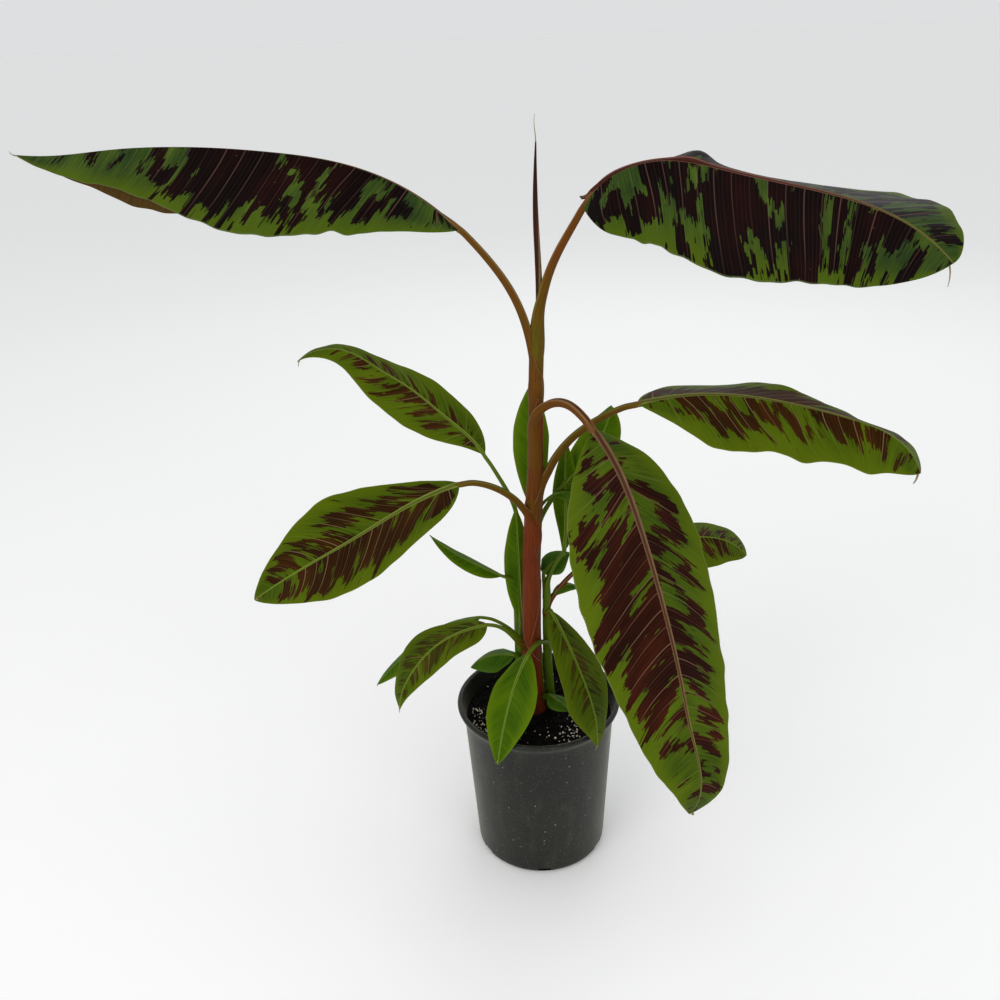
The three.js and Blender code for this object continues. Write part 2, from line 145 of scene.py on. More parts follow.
# Petioles: how far the foot runs down into the stem and up along it in foot radii, how
# far the end reaches past the blade's start, and the depth of the channel
STALK_SIDES = 28
STALK_STEP = 1.6
FOOT_BELOW = 5.0
FOOT_ABOVE = 8
FOOT_WIDTH = 3.2
FOOT_SINK = 1.5
STALK_END = 4
END_RUN = 14
CHANNEL = 0.42

# Rolled leaf, threads and stems, with the step at the edge of a sheath as a share of
# the stem's radius, and waves as pairs of length and height. NO_EDGE stands for a place
# far from an edge, and SEED_STEP keeps the patterns of two stalks apart.
SPEAR_SIDES = 40
SPEAR_RINGS = 130
SPEAR_TURN = 2.4
SPEAR_OUTER = 1.06
SPEAR_WOUND = 0.16
SPEAR_FOLDS = 5
SPEAR_FOLD_DEPTH = 0.04
THREAD_SIDES = 6
THREAD_RADIUS = 0.7
MAIN_STEM_SIDES = 96
SUCKER_SIDES = 56
STEM_STEP = 0.9
STEM_RIBS = [(13, 1), (7.7, 0.8), (4.3, 0.5)]
STEM_RIB_HEIGHT = 0.05
STEM_FLARE = 0.12
FLARE_RUN = 7
TOP_TAPER = 16
SHEATH_STEP = 0.062
SHEATH_WAVES = [(40, 1.2), (24, 0.6)]
NO_EDGE = 9.0
SEED_STEP = 700

# Stems: centre x, centre y, height and radius of each station
STEMS = {
    "main_stem": [
        (-4, 0, 160.3, 10.5),
        (-5, 0, 200, 9.6),
        (-5, 0, 260, 9.1),
        (-3, 0, 330, 8.8),
        (0, 0, 390, 8.2),
        (3, 0, 440, 7.0),
        (4.5, 0, 500, 6.8),
        (6.5, 0, 548, 6.2),
    ],
    "sucker_right": [(13, 3, 160.3, 5.4), (11.5, 3, 200, 4.4), (10, 4, 250, 4.0), (11, 5, 300, 3.6)],
    "sucker_left": [(-17, 16, 160.3, 5.6), (-17, 16, 220, 5.0), (-17, 18, 320, 4.0)],
    "sucker_back": [(1, 24, 160.3, 6.5), (0, 23, 250, 5.4), (2, 20, 342, 4.4)],
}

# Leaf sheaths wrapped round each stem, the inner ones first: height of the mouth,
# the azimuth of its leaf, how far its edge runs down to the other side, and its hue,
# which is 0 for green, 1 for olive brown and 2 for red
SHEATHS = {
    "main_stem": [
        (620, 180, 1, 1.0),
        (560, 180, 56, 1.35),
        (498, -80, 44, 1.5),
        (432, -8, 74, 1.45),
        (402, -153, 104, 2.0),
        (330, 20, 118, 1.75),
        (252, -150, 46, 2.0),
    ],
    "sucker_right": [(400, 0, 1, 0.15), (286, 30, 60, 0.1), (236, 200, 70, 0.0)],
    "sucker_left": [(400, 0, 1, 0.0), (300, 190, 60, 0.1), (230, -60, 60, 0.0)],
    "sucker_back": [(400, 0, 1, 0.0), (330, 90, 60, 0.1), (262, 250, 70, 0.0)],
}


def course(length, climb, heading, **more):
    """Values of a line: its length, and its climb and heading angles at even steps."""
    return dict(length=length, climb=climb, heading=heading, **more)


# What a leaf is given where it names no value of its own
PLAIN_BLADE = dict(
    widest=0.45, blunt=(0.6, 0.8), curl=6, roll=[0, 0], left_reach=[1, 1], right_reach=[1, 1],
)
PLAIN_MARKS = dict(
    left=[-3, -3], right=[-3, -3], border=0.5, fade=0.8, slant=44, spacing=7, rib=1, stalk=[0.1, 0],
)
LEAVES = {}


def add_leaf(name, look, foot, petiole, blade, marks=PLAIN_MARKS, kinks=(), bumps=(), lobe=0, thread=None):
    """Keeps a leaf's values, and plain ones for what it doesn't name."""
    blade = {**PLAIN_BLADE, **blade}
    if "droop" in blade:
        blade["left"] = blade["droop"]
        blade["right"] = blade["droop"]
    LEAVES[name] = dict(
        look=look, foot=foot, petiole=petiole, blade=blade, marks={**PLAIN_MARKS, **marks},
        kinks=kinks, bumps=bumps, lobe=lobe, thread=thread,
    )


# Leaves: name, look, the foot of the petiole, and its parts. The petiole and blade
# values are those of the CAD part: half is the widest half width and widest its place,
# blunt rounds the base and the tip, left and right are how far the halves droop, or
# droop for both, curl bends them further, roll turns the blade about its midrib, and
# each reach shapes a margin as shares of the half width. marks holds what only the
# looks need: the share of maroon along each half, where the green border starts and
# how much maroon it takes away, the veins' slant and spacing, how green the rib is and
# how brown the stalk is. kinks are hollows and swells of a margin: side, place, spread
# and share. bumps are raised places: side, place, spread, place towards the margin,
# width and rise. lobe is how far the base reaches back, and thread is the dried thread
# at the tip.
add_leaf(
    "high_left", "maroon", (5, 0, 505),
    petiole=course(165, [90, 75, 55, 45], [180, 180], radius=[4.8, 2.8]),
    blade=course(
        385, [45, 25, 10, 5, 0, -5, 5], [175, 175, 165], half=67, widest=0.42, blunt=(0.8, 1),
        left=[55, 60, 55], right=[55, 60, 70], curl=8, roll=[-5, 5, 15],
        left_reach=[1.4, 1.05, 1.05, 0.85, 1], right_reach=[1, 0.95, 0.85, 1.15, 0.6],
    ),
    marks=dict(
        left=[0.5, 0.66, 0.7, 0.85, 0.9, 0.5, 0.12, 0.2, 0],
        right=[0.5, 0.6, 0.7, 0.7, 0.8, 0.7, 0.4, 0.1, 0], border=0.5, fade=0.5, slant=62, spacing=15,
        rib=0.2, stalk=[1.35, 1.3],
    ),
    kinks=[("left", 0.2, 0.022, 0.05), ("left", 0.25, 0.022, -0.03)],
    lobe=9,
    thread=course(9, [-2, 20, 60], [176, 150]),
)
add_leaf(
    "high_right", "maroon", (7, 0, 549),
    petiole=course(130, [90, 75, 60, 60], [0, -20], radius=[5.4, 3]),
    blade=course(
        305, [50, 15, -10, -10, -10, -20, -40], [-30, -30, -30, -45, -55], half=75, blunt=(0.45, 0.5),
        left=[45, 35, 35, 30, 0], right=[30, 35, 20], curl=8, roll=[20, 30, 30],
        left_reach=[1, 1.05, 1.2, 1.25, 0.7], right_reach=[1.5, 1, 1, 1, 1.3],
    ),
    marks=dict(
        left=[0.5, 0.7, 0.8, 0.8, 0.7, 0.66, 0.6, 0.5, 0.1],
        right=[0.55, 0.52, 0.66, 0.88, 0.9, 0.8, 0.68, 0.66, 0.1], border=0.7, fade=0.25, slant=66,
        spacing=14, rib=0, stalk=[0.7, 1.45],
    ),
    bumps=[("left", 0.3, 0.045, 0.22, 0.2, 8), ("left", 0.05, 0.08, 0.7, 0.5, 16)],
    lobe=10,
    thread=course(17, [-60, -85, -100], [-50, -50]),
)
add_leaf(
    "mid_right", "mottled", (4, 0, 390),
    petiole=course(145, [80, 70, 55, 40, 30, 20], [0, -20], radius=[4.8, 2.8]),
    blade=course(
        255, [15, 5, -5, -10, -20, -70], [-5, -15, -20, -25, -30], half=50, widest=0.42,
        blunt=(0.6, 0.55), left=[10, 20, 5, 30, 15], right=[35, 35, 25], roll=[15, 15],
        left_reach=[1.5, 0.9, 0.6, 0.8, 1.5], right_reach=[0.6, 1.05, 0.9, 1.05, 1.4],
    ),
    marks=dict(
        left=[0.3, 0.9, 1.1, 1.1, 1, 1, 0.9, 0.6, 0.2],
        right=[0.1, 0.45, 0.85, 0.66, 0.46, 0.56, 0.5, 0.62, 0.15], border=0.45, fade=0.8, slant=48,
        spacing=13, rib=0.55, stalk=[1.3, 1.05],
    ),
    kinks=[("right", 0.6, 0.05, 0.09), ("right", 0.72, 0.05, -0.05), ("right", 0.86, 0.06, 0.14)],
    thread=course(13, [-80, -100, -120], [-22, -22], size=1.4),
)
add_leaf(
    "front", "ruddy", (0, -2, 443),
    petiole=course(115, [85, 80, 50, 15, -30, -40], [-100, -60, -40, -40, -45], radius=[5, 3.6]),
    blade=course(
        370, [-25, -55, -65, -70, -75, -75, -120], [-60, -55, -50, -45, -35], half=70, blunt=(0.6, 0.85),
        left=[20, 10, 5, 0, -15], right=[25, 25, 10], curl=8, roll=[10, 15, 25],
        left_reach=[1.1, 0.95, 0.8, 0.85, 1.3], right_reach=[1.25, 1.05, 0.95, 0.95, 1.35],
    ),
    marks=dict(
        left=[0.25, 0.42, 0.52, 0.56, 0.5, 0.52, 0.55, 0.5, 0],
        right=[0.35, 0.62, 0.85, 0.9, 0.85, 0.7, 0.45, 0.5, 0], border=0.55, fade=0.75, slant=50,
        spacing=15, rib=0.1, stalk=[1.3, 1.4],
    ),
    thread=course(10, [-80, -20, 10], [-28, 180], size=1.3),
)
add_leaf(
    "upper_left", "mottled", (-15, 20, 310),
    petiole=course(130, [90, 90, 65, 60], [190, 170], radius=[3, 1.8]),
    blade=course(
        215, [55, 40, 40, 30, 30, -5, -40], [165, 165], half=30, widest=0.42, blunt=(0.75, 0.9),
        left=[25, 15], right=[0, 10], curl=4, roll=[-30, -20], left_reach=[0.7, 1.05, 1.05, 0.8, 0.7],
        right_reach=[1.5, 1, 0.75, 0.5, 1],
    ),
    marks=dict(
        left=[0.1, 0.45, 0.55, 0.6, 0.5, 0.25, -0.1, -0.3],
        right=[0.1, 0.35, 0.5, 0.5, 0.4, 0.15, -0.1, -0.3], border=0.3, fade=0.85, slant=42, spacing=9,
        rib=0.9, stalk=[0.1, 0.1],
    ),
    thread=course(8, [-60, -80], [170, 170]),
)
add_leaf(
    "mid_left", "mottled", (-1, -4, 360),
    petiole=course(105, [85, 70, 50, 35, 20, 0], [-150, -165, -160], radius=[4.4, 2.6]),
    blade=course(
        205, [-5, -20, -20, -30], [-155, -155, -165], half=45, widest=0.5, blunt=(0.6, 0.7),
        left=[25, 15], right=[5, 0, 5], curl=4, roll=[-35, -30], left_reach=[1.1, 0.8, 0.85, 0.95, 0.9],
        right_reach=[0.5, 0.8, 1.1, 1.15, 1.2],
    ),
    marks=dict(
        left=[0.3, 0.75, 0.85, 0.8, 0.85, 0.78, 0.62, 0.1],
        right=[0.3, 0.55, 0.6, 0.55, 0.62, 0.66, 0.45, 0], border=0.5, fade=0.85, slant=42, spacing=11,
        rib=0.75, stalk=[1.9, 0.9],
    ),
    thread=course(7, [-20, 0], [-175, 175]),
)
add_leaf(
    "small_left", "green", (-19, 15, 298),
    petiole=course(22, [60, 30], [-130, -155], radius=[2.2, 1.6]),
    blade=course(
        90, [30, 36, 38, 44, 52], [-160, -165], half=11, widest=0.4, blunt=(0.7, 0.9), droop=[25, 15],
        curl=4, roll=[-30, -25],
    ),
)
add_leaf(
    "upright_back", "green", (1, 22, 336),
    petiole=course(38, [88, 88], [90, 90], radius=[3.2, 2.4]),
    blade=course(
        122, [88, 85, 84, 86], [95, 95, 80], half=18, widest=0.55, blunt=(0.7, 0.8), droop=[15, 15],
    ),
)
add_leaf(
    "upright_left", "green", (-15, 12, 226),
    petiole=course(32, [80, 90], [-90, -90], radius=[3.4, 2.4]),
    blade=course(122, [88, 88, 84], [110, 100], half=14, widest=0.5, blunt=(0.7, 0.8), droop=[15, 15]),
)
add_leaf(
    "low_left", "mottled", (-9, -2, 226),
    petiole=course(70, [70, 55, 55, 40, 20], [-145, -155], radius=[2.8, 1.7]),
    blade=course(
        130, [5, 0, -15, -35, -50, -65, -90], [-150, -155, -160], half=25, blunt=(0.6, 0.75),
        left=[15, 15], right=[20, 15], roll=[-35, -30], left_reach=[1.3, 0.8, 0.75, 0.7, 0.5],
        right_reach=[0.95, 0.75, 1.1, 1.1, 1.1],
    ),
    marks=dict(
        left=[0.1, 0.55, 0.7, 0.7, 0.6, 0.3, 0], right=[0.1, 0.5, 0.6, 0.6, 0.5, 0.2, 0], border=0.4,
        fade=0.85, slant=42, spacing=8, rib=0.95, stalk=[1.2, 0.3],
    ),
    thread=course(8, [-80, -90], [-158, -158]),
)
add_leaf(
    "low_left_back", "green", (-9, 4, 224),
    petiole=course(74, [80, 60, 48, 36, 14], [-160, -168], radius=[2.4, 1.5]),
    blade=course(
        126, [-8, -18, -28, -36, -44, -52], [-170, -174], half=18, blunt=(0.6, 0.75), droop=[20, 15],
        roll=[-10, -10],
    ),
    thread=course(6, [-50, -70], [-174, -174]),
)
add_leaf(
    "base_left", "dark", (-12, 8, 209),
    petiole=course(14, [60, 30], [180, 160], radius=[2.4, 1.8]),
    blade=course(
        58, [0, -14, -26, -40, -54], [160, 158], half=18, widest=0.42, droop=[30, 20], roll=[-20, -20],
    ),
)
add_leaf(
    "pot_front", "green", (9, 2, 229),
    petiole=course(42, [75, 55, 26, -10, -34], [-90, -126, -138], radius=[2.8, 2]),
    blade=course(
        110, [-36, -42, -48, -48, -50, -54], [-130, -120, -112, -106], half=25, widest=0.42,
        blunt=(0.7, 0.85), droop=[16, 12], curl=4,
    ),
    thread=course(4, [-40, -10], [-130, -170]),
)
add_leaf(
    "pot_right", "mottled", (12, 2, 266),
    petiole=course(15, [80, 85, 55, -30], [-90, -70, -55], radius=[2.6, 1.9]),
    blade=course(
        145, [-35, -40, -45, -50, -60, -80, -100], [-60, -60], half=27, widest=0.5, blunt=(0.7, 0.75),
        droop=[15, 15], curl=4, left_reach=[1, 1.05, 1.1, 1, 0.9], right_reach=[1.1, 0.8, 0.8, 1, 0.5],
    ),
    marks=dict(
        left=[0, 0.45, 0.5, 0.5, 0.4, 0.1, 0], right=[0, 0.5, 0.5, 0.5, 0.4, 0.1, 0], border=0.25,
        fade=0.85, slant=42, spacing=8, rib=1, stalk=[0.2, 0.2],
    ),
    thread=course(6, [-60, -40], [-100, -160]),
)
add_leaf(
    "upright_right", "green", (3, 18, 334),
    petiole=course(74, [90, 84, 64, 54, 50], [10, 10], radius=[3, 2]),
    blade=course(
        88, [46, 48, 52, 64, 84], [14, 12, 30], half=21, widest=0.5, blunt=(0.7, 0.8), left=[10, 10],
        right=[20, 20], curl=4, roll=[40, 40],
    ),
)
add_leaf(
    "upright_dark", "green", (10, 6, 294),
    petiole=course(44, [80, 64, 50], [30, 10], radius=[2.6, 2]),
    blade=course(
        110, [64, 84, 86, 80], [60, 90, 60], half=13, widest=0.5, blunt=(0.7, 0.8), droop=[20, 20],
        curl=4,
    ),
)
add_leaf(
    "back_right", "mottled", (11, 6, 272),
    petiole=course(86, [68, 40, 25, 8], [30, 25], radius=[2.8, 1.8]),
    blade=course(
        165, [0, 0, 0, -5, -10, -30, -50], [20, 15, 5], half=28, widest=0.55, blunt=(0.6, 0.45),
        left=[20, 15, 5], right=[25, 20], roll=[20, 20, 30], left_reach=[1, 1, 0.95, 1.1, 1.4],
        right_reach=[1, 1.05, 1.15, 1.2, 0.9],
    ),
    marks=dict(
        left=[0.2, 0.5, 0.6, 0.6, 0.55, 0.4, 0], right=[0.2, 0.6, 0.7, 0.7, 0.66, 0.5, 0], border=0.45,
        fade=0.85, slant=44, spacing=9, rib=0.9, stalk=[1.7, 1.5],
    ),
    thread=course(5, [-40, -60], [8, 8]),
)
add_leaf(
    "dark_mid", "dark", (9, 6, 290),
    petiole=course(22, [88, 80], [120, 100], radius=[2.2, 1.8]),
    blade=course(36, [40, 20, 0], [40, 30], half=14, left=[20, 16], right=[30, 30], roll=[30, 30]),
)
add_leaf(
    "tiny_right", "dark", (11, 6, 274),
    petiole=course(14, [70, 60], [20, 25], radius=[1.8, 1.3]),
    blade=course(36, [55, 20, -20, -40], [25, 20], half=7, left=[20, 20], right=[25, 25], roll=[20, 20]),
)
add_leaf(
    "tiny_upper", "dark", (3, 3, 380),
    petiole=course(24, [64, 40, 20], [25, 27], radius=[1.8, 1.3]),
    blade=course(
        32, [10, -20, -40], [28, 30], half=9, widest=0.5, left=[20, 20], right=[25, 25], roll=[20, 20],
    ),
)
add_leaf(
    "at_soil", "dark", (6, -5, 177),
    petiole=course(9, [70, 30], [-60, -50], radius=[2, 1.6]),
    blade=course(31, [6, -12, -30], [-50, -40], half=12, widest=0.5, droop=[15, 15], curl=4),
)

# The rolled newest leaf and the dried thread on its point
SPEAR_FOOT = (8, 1, 562)
SPEAR_ROLL = course(149, [86, 92, 90, 87], [0, 0], radius=[3.2, 2.8, 2.2, 0.6])
SPEAR_THREAD = course(24, [88, 96, 80], [0, 0], size=0.55)

# Colours of each look: deep and bright green, the green of the margin, dark and
# brown maroon, the veins on green and on maroon, and the underside on green and on
# maroon
LEAF_COLOURS = {
    "maroon": dict(
        deep=(32, 50, 20), bright=(72, 92, 24), margin=(72, 90, 4), dark=(6, 1, 1), brown=(30, 6, 4),
        vein=(92, 106, 66), pink=(94, 66, 58), under=(88, 66, 30), under_red=(92, 54, 28),
    ),
    "ruddy": dict(
        deep=(48, 67, 6), bright=(79, 97, 12), margin=(81, 98, 4), dark=(30, 7, 2), brown=(66, 24, 7),
        vein=(108, 118, 60), pink=(122, 92, 72), under=(84, 84, 34), under_red=(92, 60, 32),
    ),
    "mottled": dict(
        deep=(52, 70, 1), bright=(80, 98, 6), margin=(80, 96, 2), dark=(36, 16, 0), brown=(68, 35, 2),
        vein=(114, 126, 54), pink=(124, 108, 74), under=(84, 92, 34), under_red=(92, 66, 34),
    ),
    "green": dict(
        deep=(48, 78, 0), bright=(78, 108, 1), margin=(92, 116, 6), dark=(62, 34, 12), brown=(80, 48, 18),
        vein=(100, 126, 24), pink=(120, 110, 60), under=(88, 114, 30), under_red=(88, 114, 30),
    ),
    "dark": dict(
        deep=(40, 72, 8), bright=(68, 102, 14), margin=(78, 110, 24), dark=(44, 26, 14), brown=(56, 36, 20),
        vein=(90, 120, 50), pink=(96, 96, 50), under=(70, 98, 32), under_red=(70, 98, 32),
    ),
}
# Midrib colours, pink and green, each with a darker tone that is painted shade in the groove along its
# middle
RIB_PINK = (124, 84, 70)
RIB_PINK_GROOVE_SHADE = (68, 34, 28)
RIB_GREEN = (116, 138, 50)
RIB_GREEN_GROOVE_SHADE = (84, 104, 30)
WATER_SPECK = (168, 176, 120)

# Dark and light tones of green, olive brown and red stalks, and of the rolled leaf
STALK_TONES = [((62, 88, 8), (88, 112, 16)), ((74, 52, 4), (100, 70, 8)), ((84, 29, 7), (118, 53, 17))]
SPEAR_TONES = [((58, 54, 12), (84, 78, 24)), ((38, 18, 10), (70, 38, 20)), ((32, 10, 8), (56, 24, 18))]


# Curves and paths


def along(values, t):
    """Value of an evenly spaced list at t from 0 to 1, eased through its entries."""
    values = np.asarray(values, float)
    last = len(values) - 1
    step = np.clip(t, 0, 1) * last
    index = np.minimum(np.floor(step).astype(int), last - 1)
    u = step - index
    here = values[index]
    after = values[index + 1]
    before = np.where(index > 0, values[np.maximum(index - 1, 0)], 2 * here - after)
    beyond = np.where(index + 2 <= last, values[np.minimum(index + 2, last)], 2 * after - here)
    cubic = 3 * (here - after) + beyond - before
    square = 2 * before - 5 * here + 4 * after - beyond
    return here + 0.5 * u * (after - before + u * (square + u * cubic))


def smooth(value, low, high):
    """0 below low and 1 above high, with an eased rise between them."""
    share = np.clip((value - low) / (high - low), 0, 1)
    return share * share * (3 - 2 * share)


def ripple(distance, waves, seed):
    """Sum of a few sine waves, given as pairs of length and height, with seeded phases."""
    dice = np.random.default_rng(seed)
    return sum(height * np.sin(CIRCLE * (distance / length + dice.random())) for length, height in waves)


def circle(count, start=0.0):
    """Even angles round a ring, as one row."""
    return np.linspace(start, start + CIRCLE, count, endpoint=False)[None, :]


def stacked(*values):
    """One array of points or vectors from the arrays of their coordinates."""
    return np.stack(np.broadcast_arrays(*values), axis=-1).astype(float)


class Path:
    """A line given by its start, its length and its climb and heading angles."""

    FINE = 800

    def __init__(self, start, part):
        self.part = part
        self.t = np.linspace(0, 1, self.FINE + 1)
        ahead = self.ahead(self.t)
        steps = (ahead[1:] + ahead[:-1]) * part["length"] / (2 * self.FINE)
        self.spots = np.asarray(start, float) + np.vstack([np.zeros(3), np.cumsum(steps, axis=0)])

    def ahead(self, t):
        climb = np.radians(along(self.part["climb"], t))
        heading = np.radians(along(self.part["heading"], t))
        level = np.cos(climb)
        return stacked(level * np.cos(heading), level * np.sin(heading), np.sin(climb))

    def at(self, t):
        """Places along the path, with the directions ahead, right and top there."""
        ahead = self.ahead(t)
        heading = np.radians(along(self.part["heading"], t))
        right = stacked(np.sin(heading), -np.cos(heading), 0)
        spot = stacked(*(np.interp(t, self.t, self.spots[:, k]) for k in range(3)))
        past = (t - np.clip(t, 0, 1)) * self.part["length"]
        return spot + ahead * past[..., None], ahead, right, np.cross(right, ahead)


# Meshes and objects


def signed_volume(points, faces):
    """Volume inside closed faces, negative where they are wound inwards."""
    quads = points[faces]
    first = np.einsum("ij,ij->i", quads[:, 0], np.cross(quads[:, 1], quads[:, 2]))
    second = np.einsum("ij,ij->i", quads[:, 0], np.cross(quads[:, 2], quads[:, 3]))
    return (first + second).sum()


def tube_faces(rows, count):
    """Quads of a closed tube of rings of count points, whose end rings fold flat."""
    i = np.arange(rows - 1)[:, None] * count
    j = np.arange(count)[None, :]
    k = (j + 1) % count
    sides = np.stack([i + j, i + k, i + k + count, i + j + count], axis=-1).reshape(-1, 4)
    j = np.arange(count // 2 - 1)
    cap = np.stack([j, count - 1 - j, count - 2 - j, j + 1], axis=-1)
    return np.vstack([sides, cap, cap[:, ::-1] + (rows - 1) * count])


def linked(name, data):
    """An object in the scene made of a mesh, a light or a camera."""
    item = bpy.data.objects.new(name, data)
    bpy.context.scene.collection.objects.link(item)
    return item


def mesh_from(name, points, faces, *materials):
    """A mesh from points in millimetres and faces given as rows of point numbers."""
    mesh = bpy.data.meshes.new(name)
    mesh.from_pydata(np.vstack(points) * MM, [], np.vstack(faces))
    for material in materials:
        mesh.materials.append(material)
    return mesh


class Surface:
    """Tubes gathered for one piece: rings of points, with values at each point."""

    def __init__(self, rings, **values):
        self.points = []
        self.faces = []
        self.values = {}
        self.slots = []
        self.total = 0
        self.add(rings, 0, **values)

    def add(self, rings, slot, **values):
        points = rings.reshape(-1, 3)
        faces = tube_faces(*rings.shape[:2])
        if signed_volume(points - points.mean(axis=0), faces) < 0:
            faces = faces[:, ::-1]
        for name, value in values.items():
            self.values.setdefault(name, []).append(np.asarray(value, float).reshape(len(points), -1))
        self.points.append(points)
        self.faces.append(faces + self.total)
        self.slots.append(np.full(len(faces), slot))
        self.total += len(points)

    def add_thread(self, start, thread):
        """Adds a thin tapered thread that hangs along its own path, in the second slot."""
        radius = thread.get("size", THREAD_RADIUS)
        t = np.linspace(0, 1, max(6, round(thread["length"])))
        spot, _, right, top = Path(start, thread).at(t)
        angle = circle(THREAD_SIDES)
        ring = right[:, None] * np.cos(angle)[..., None] + top[:, None] * np.sin(angle)[..., None]
        rings = spot[:, None] + ring * (radius * (1 - 0.7 * t)[:, None, None])
        sizes = {name: parts[0].shape[1:] for name, parts in self.values.items()}
        values = {name: np.zeros(rings.shape[:2] + size) for name, size in sizes.items()}
        values["vein"] = stacked(t[:, None] * thread["length"], angle, 0)
        self.add(rings, 1, **values)

    def build(self, name, *materials):
        """The piece as an object, smooth apart from its sharpest edges."""
        mesh = mesh_from(name, self.points, self.faces, *materials)
        mesh.polygons.foreach_set("material_index", np.concatenate(self.slots).astype(np.int32))
        for label, parts in self.values.items():
            data = np.vstack(parts).astype(np.float32)
            kind = "FLOAT_VECTOR" if data.shape[1] == 3 else "FLOAT"
            layer = mesh.attributes.new(label, kind, "POINT")
            layer.data.foreach_set("vector" if kind == "FLOAT_VECTOR" else "value", data.ravel())
        mesh.shade_smooth()
        mesh.set_sharp_from_angle(angle=math.radians(LEAF_CREASE))
        return linked(name, mesh)


def object_from(shape, name, material):
    """An object made of a bmesh, shaded smooth."""
    bmesh.ops.recalc_face_normals(shape, faces=shape.faces)
    mesh = bpy.data.meshes.new(name)
    shape.to_mesh(mesh)
    shape.free()
    mesh.shade_smooth()
    mesh.set_sharp_from_angle(angle=math.radians(POT_CREASE))
    mesh.materials.append(material)
    return linked(name, mesh)


def place(piece, slot, *nodes):
    """Puts a piece on the one body, in place of CAD nodes. The slot is not used."""
    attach(piece, "root")
    if nodes:
        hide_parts(*nodes)


# Materials


def colour(red, green, blue):
    """A colour given as it looks on screen, as the light values that a shader takes."""
    shares = [value / 255 for value in (red, green, blue)]
    return tuple(s / 12.92 if s <= 0.04045 else ((s + 0.055) / 1.055) ** 2.4 for s in shares) + (1.0,)


class Field:
    """A value that varies over a surface. Arithmetic with it adds nodes to its material."""

    def __init__(self, paint, socket):
        self.paint = paint
        self.socket = socket

    def __add__(self, other):
        return self.paint.math("ADD", self, other)

    def __sub__(self, other):
        return self.paint.math("SUBTRACT", self, other)

    def __mul__(self, other):
        return self.paint.math("MULTIPLY", self, other)

    def __truediv__(self, other):
        return self.paint.math("DIVIDE", self, other)

    def ease(self, low, high, start=0.0, end=1.0):
        """Goes smoothly from start to end while the value goes from low to high."""
        inputs = {"Value": self, "From Min": low, "From Max": high, "To Min": start, "To Max": end}
        return self.paint.node("MapRange", "Result", inputs, interpolation_type="SMOOTHSTEP")


class Paint:
    """A node material. Each call adds a node and gives back its output as a field."""

    def __init__(self, name, **plain):
        self.material = bpy.data.materials.new(name)
        self.material.use_nodes = True
        self.nodes = self.material.node_tree.nodes
        self.shader = self.nodes["Principled BSDF"]
        for label, value in plain.items():
            self.shader.inputs[label.replace("_", " ")].default_value = value

    def feed(self, socket, value):
        """Links a field, or a tuple that holds fields, or else sets a plain value."""
        if isinstance(value, tuple) and any(isinstance(part, Field) for part in value):
            value = self.node("CombineXYZ", inputs=enumerate(value))
        if isinstance(value, Field):
            self.material.node_tree.links.new(value.socket, socket)
        else:
            socket.default_value = value

    def node(self, kind, output=0, inputs=(), **settings):
        made = self.nodes.new("ShaderNode" + kind)
        for label, value in settings.items():
            setattr(made, label, value)
        for socket, value in dict(inputs).items():
            self.feed(made.inputs[socket], value)
        return Field(self, made.outputs[output])

    def math(self, operation, *values):
        return self.node("Math", operation=operation, inputs=enumerate(values))

    def parts(self, vector):
        made = self.nodes.new("ShaderNodeSeparateXYZ")
        self.feed(made.inputs[0], vector)
        return tuple(Field(self, output) for output in made.outputs)

    def attribute(self, name):
        """The three values that a mesh keeps at its points under a name."""
        return self.parts(self.node("Attribute", "Vector", attribute_name=name))

    def noise(self, vector, scale=1.0, detail=2.0):
        return self.node("TexNoise", inputs={"Vector": vector, "Scale": scale, "Detail": detail})

    def cells(self, vector, scale, output="Distance"):
        return self.node("TexVoronoi", output, {"Vector": vector, "Scale": scale})

    def chance(self, value):
        return self.node("TexWhiteNoise", "Value", {"W": value}, noise_dimensions="1D")

    def mix(self, share, *tones):
        """The first tone where share is 0 and the second where it is 1."""
        first, second = (colour(*tone) if isinstance(tone, tuple) else tone for tone in tones)
        return self.node("Mix", 2, {0: share, 6: first, 7: second}, data_type="RGBA")

    def finish(self, base, roughness, height=None, depth=0.0):
        """The material, with bumps of a depth in millimetres where it has a height."""
        self.feed(self.shader.inputs["Base Color"], base)
        self.feed(self.shader.inputs["Roughness"], roughness)
        if height is not None:
            normal = self.node("Bump", "Normal", {"Height": height, "Distance": depth * MM})
            self.feed(self.shader.inputs["Normal"], normal)
        return self.material


def maroon_blocks(paint, place_s, across, seed, share, spacing):
    """Where the tissue is maroon, and a chance for each narrow strip between fine veins.

    A slow field is read strip by strip, so that the ends of its patches are stepped. A
    chance hangs on the last digit of its value, so that value comes from a single node."""
    wander = paint.noise((place_s * 0.11, seed, 0), detail=1)
    shifted = (wander * 9 + place_s) / spacing
    wide = paint.math("FLOOR", shifted * 4.6)
    narrow = paint.math("FLOOR", shifted * 13.7)
    wide_chance = paint.chance(paint.math("MULTIPLY_ADD", seed, 31.7, wide))
    narrow_chance = paint.chance(paint.math("MULTIPLY_ADD", seed, 13.3, narrow))
    ragged = across / spacing + wide_chance * 0.62 + narrow_chance * 0.32
    patch = paint.noise((wide * 0.26, ragged * 0.55, seed * 7.3), detail=1.2)
    fleck = paint.noise((narrow * 0.55, ragged * 0.9, seed * 3.1), detail=1)
    maroon = (fleck * 0.26 + patch - (share * -0.33 + 0.795)).ease(-0.01, 0.01)
    return maroon * spacing.ease(8.1, 8.9, 0.72, 1), narrow_chance


